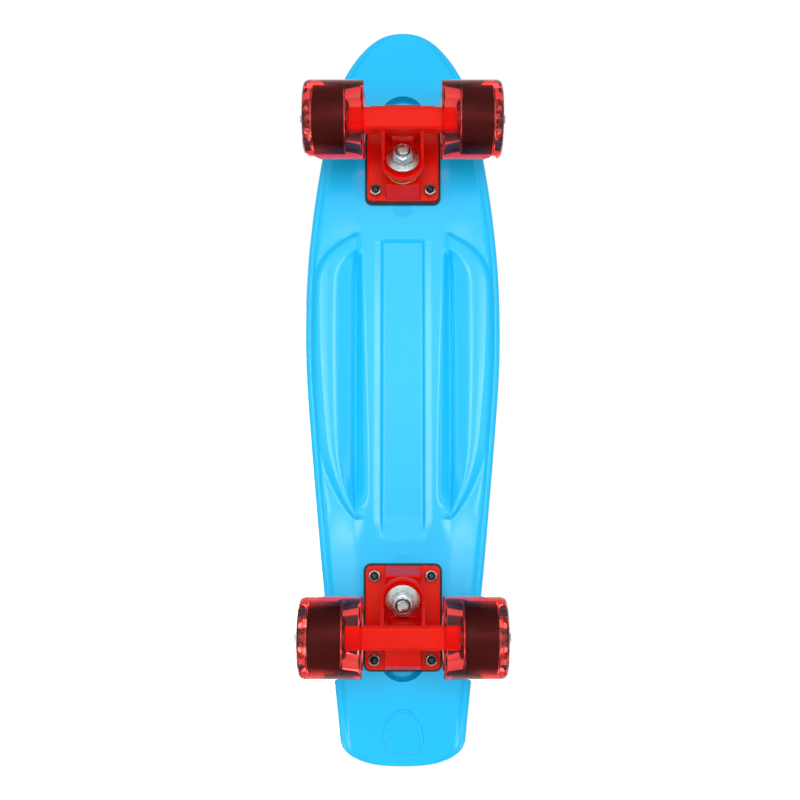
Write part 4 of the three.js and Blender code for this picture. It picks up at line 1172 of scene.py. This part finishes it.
def make_wheel(end, truck, hand):
    side = side_name(end, hand)
    body = end + "_wheel_" + side
    frame_of = axle_frame(truck, hand)
    pocket = CORE_RADIUS - 0.15
    inside = [(pocket, CORE_INNER - 0.05), (15.4, CORE_INNER - 0.3), (17.5, WHEEL_INNER + 2)]
    inside += [(19.5, WHEEL_INNER), (WHEEL_RADIUS - 0.8, WHEEL_INNER), (WHEEL_RADIUS, WHEEL_INNER + 0.8)]
    tread = [(WHEEL_RADIUS, WHEEL_OUTER - 4), (27.8, WHEEL_OUTER - 1.2), (25, WHEEL_OUTER)]
    outside = [(18.5, WHEEL_OUTER), (16.5, WHEEL_OUTER - 2), (15.4, CORE_OUTER + 0.3)]
    profile = [*inside, *tread, *outside, (pocket, CORE_OUTER + 0.05)]
    tyre = [lathe(profile, 160, 1.2, 5)]
    turned_piece(body + "_urethane", tyre, frame_of, "wheel_urethane", body, [body + "_tyre"], 50)
    seat = BEARING_SEAT
    core = [
        (seat, CORE_INNER),
        (CORE_RADIUS - 0.8, CORE_INNER),
        (CORE_RADIUS, CORE_INNER + 0.8),
        (CORE_RADIUS, CORE_OUTER - 0.8),
        (CORE_RADIUS - 0.8, CORE_OUTER),
        (seat, CORE_OUTER),
        (seat, CORE_OUTER - 7.2),
        (9, CORE_OUTER - 7.3),
        (9, CORE_INNER + 7.3),
        (seat, CORE_INNER + 7.2),
    ]
    turned_piece(body + "_hub", [lathe(core, 128, 0.3)], frame_of, "core_plastic", body, [body + "_core"])
    for name, start, flip in (("inner", CORE_INNER, False), ("outer", CORE_OUTER - BEARING_WIDTH, True)):
        half = [(AXLE_BORE, 0), (6.2, 0), (6.4, 0.5), (9.2, 0.5), (9.4, 0), (11, 0)]
        bearing = lathe([*half, (11, BEARING_WIDTH), (AXLE_BORE, BEARING_WIDTH)], 96, 0.2)
        if flip:
            bearing = placed(bearing, move(0, 0, BEARING_WIDTH) @ turn("x", 180))
        bearing = placed(bearing, move(0, 0, start))
        node = body + "_bearing_" + name
        turned_piece(body + "_" + name + "_race", [bearing], frame_of, "bearing_steel", body, [node])


# Camera, light and floor


def make_camera():
    """The photograph's camera: below the board, looking up at its underside."""
    camera = bpy.data.cameras.new("camera")
    camera.lens = LENS
    camera.sensor_width = 36
    camera.sensor_fit = "HORIZONTAL"
    camera.shift_x = CAMERA_SHIFT
    camera.clip_start = 0.01
    camera.clip_end = 100
    thing = add("camera", camera)
    tilt = math.radians(CAMERA_TILT)
    y, z = CAMERA_PLACE
    s, c = math.sin(tilt), math.cos(tilt)
    matrix = [(-1, 0, 0, 0), (0, c, -s, y), (0, -s, -c, z), (0, 0, 0, 1)]
    thing.matrix_world = Matrix(matrix)
    bpy.context.scene.camera = thing


def area_light(name, place, target, size, power):
    """A lamp with a size across and a size along the board."""
    light = bpy.data.lights.new(name, "AREA")
    light.shape = "RECTANGLE"
    light.size, light.size_y = size
    light.energy = power
    thing = add(name, light)
    back = (Vector(place) - Vector(target)).normalized()
    across = Vector((0, 1, 0)).cross(back).normalized()
    turned = Matrix((across, back.cross(across), back)).transposed()
    thing.matrix_world = Matrix.Translation(place) @ turned.to_4x4()


def make_world():
    """Soft studio light, brighter from straight above and below than from the sides."""
    world = bpy.data.worlds.new("studio")
    bpy.context.scene.world = world
    world.use_nodes = True
    tree = world.node_tree
    nodes, links = tree.nodes, tree.links
    plain = nodes["Background"]
    plain.inputs["Color"].default_value = (1, 1, 1, 1)
    direction = nodes.new("ShaderNodeTexCoord")
    parts = nodes.new("ShaderNodeSeparateXYZ")
    links.new(direction.outputs["Generated"], parts.inputs["Vector"])
    square = math_node(tree, "MULTIPLY", parts.outputs["Z"], parts.outputs["Z"])
    level = nodes.new("ShaderNodeMapRange")
    level.inputs["To Min"].default_value, level.inputs["To Max"].default_value = WORLD_LEVELS
    links.new(square, level.inputs["Value"])
    links.new(level.outputs["Result"], plain.inputs["Strength"])
    white = nodes.new("ShaderNodeBackground")
    white.inputs["Color"].default_value = (1, 1, 1, 1)
    white.inputs["Strength"].default_value = 1.0
    light = nodes.new("ShaderNodeLightPath")
    seen = math_node(tree, "MAXIMUM", light.outputs["Is Camera Ray"], light.outputs["Is Transmission Ray"])
    mix_shaders(tree, seen, plain.outputs["Background"], white.outputs["Background"], "World Output")


def make_floor():
    """A pale floor that the camera sees from above, and that is clear to every other ray."""
    far = FLOOR_HALF
    mesh = bpy.data.meshes.new("floor")
    corners = [(-far, -far, 0), (far, -far, 0), (far, far, 0), (-far, far, 0)]
    mesh.from_pydata(corners, [], [(0, 1, 2, 3)])
    floor = add("floor", mesh)
    floor.location.z = FLOOR_LEVEL
    made = material("floor_paper", Base_Color=(0.9, 0.9, 0.9), Roughness=0.8)
    tree = made.node_tree
    light = tree.nodes.new("ShaderNodeLightPath")
    face = tree.nodes.new("ShaderNodeNewGeometry")
    front = math_node(tree, "SUBTRACT", 1, face.outputs["Backfacing"])
    shown = math_node(tree, "MULTIPLY", front, light.outputs["Is Camera Ray"])
    clear = tree.nodes.new("ShaderNodeBsdfTransparent").outputs["BSDF"]
    paper = tree.nodes["Principled BSDF"].outputs["BSDF"]
    mix_shaders(tree, shown, clear, paper, "Material Output")
    mesh.materials.append(made)


make_camera()
make_world()
make_floor()
middle = (0, 0.05, 0.08)
for side in (-1, 1):
    area_light(f"strip{side}", (side * 0.36, 0.15, -1.3), middle, (0.22, 0.56), 2.7)
    area_light(f"side{side}", (side * 1.35, 0.2, -1.1), middle, (0.35, 0.8), 1.4)
    area_light(f"aft{side}", (side * 0.8, -1.45, -0.3), (0, -0.25, 0.1), (0.8, 0.3), 3)
area_light("front", (0, 0.45, -1.3), middle, (0.24, 0.9), 0.6)
area_light("top", (0.3, -0.2, 1.6), (0, 0, 0.08), (1.2, 1.2), 25)

make_deck()
make_tail_bead()
for end, truck in TRUCKS.items():
    make_riser(end, truck)
    make_baseplate(end, truck)
    make_hanger(end, truck)
    make_kingpin_stack(end, truck)
    make_bolts(end, truck)
    make_axle(end, truck)
    for hand in (1, -1):
        make_wheel(end, truck, hand)

bpy.context.scene.view_settings.view_transform = "Standard"
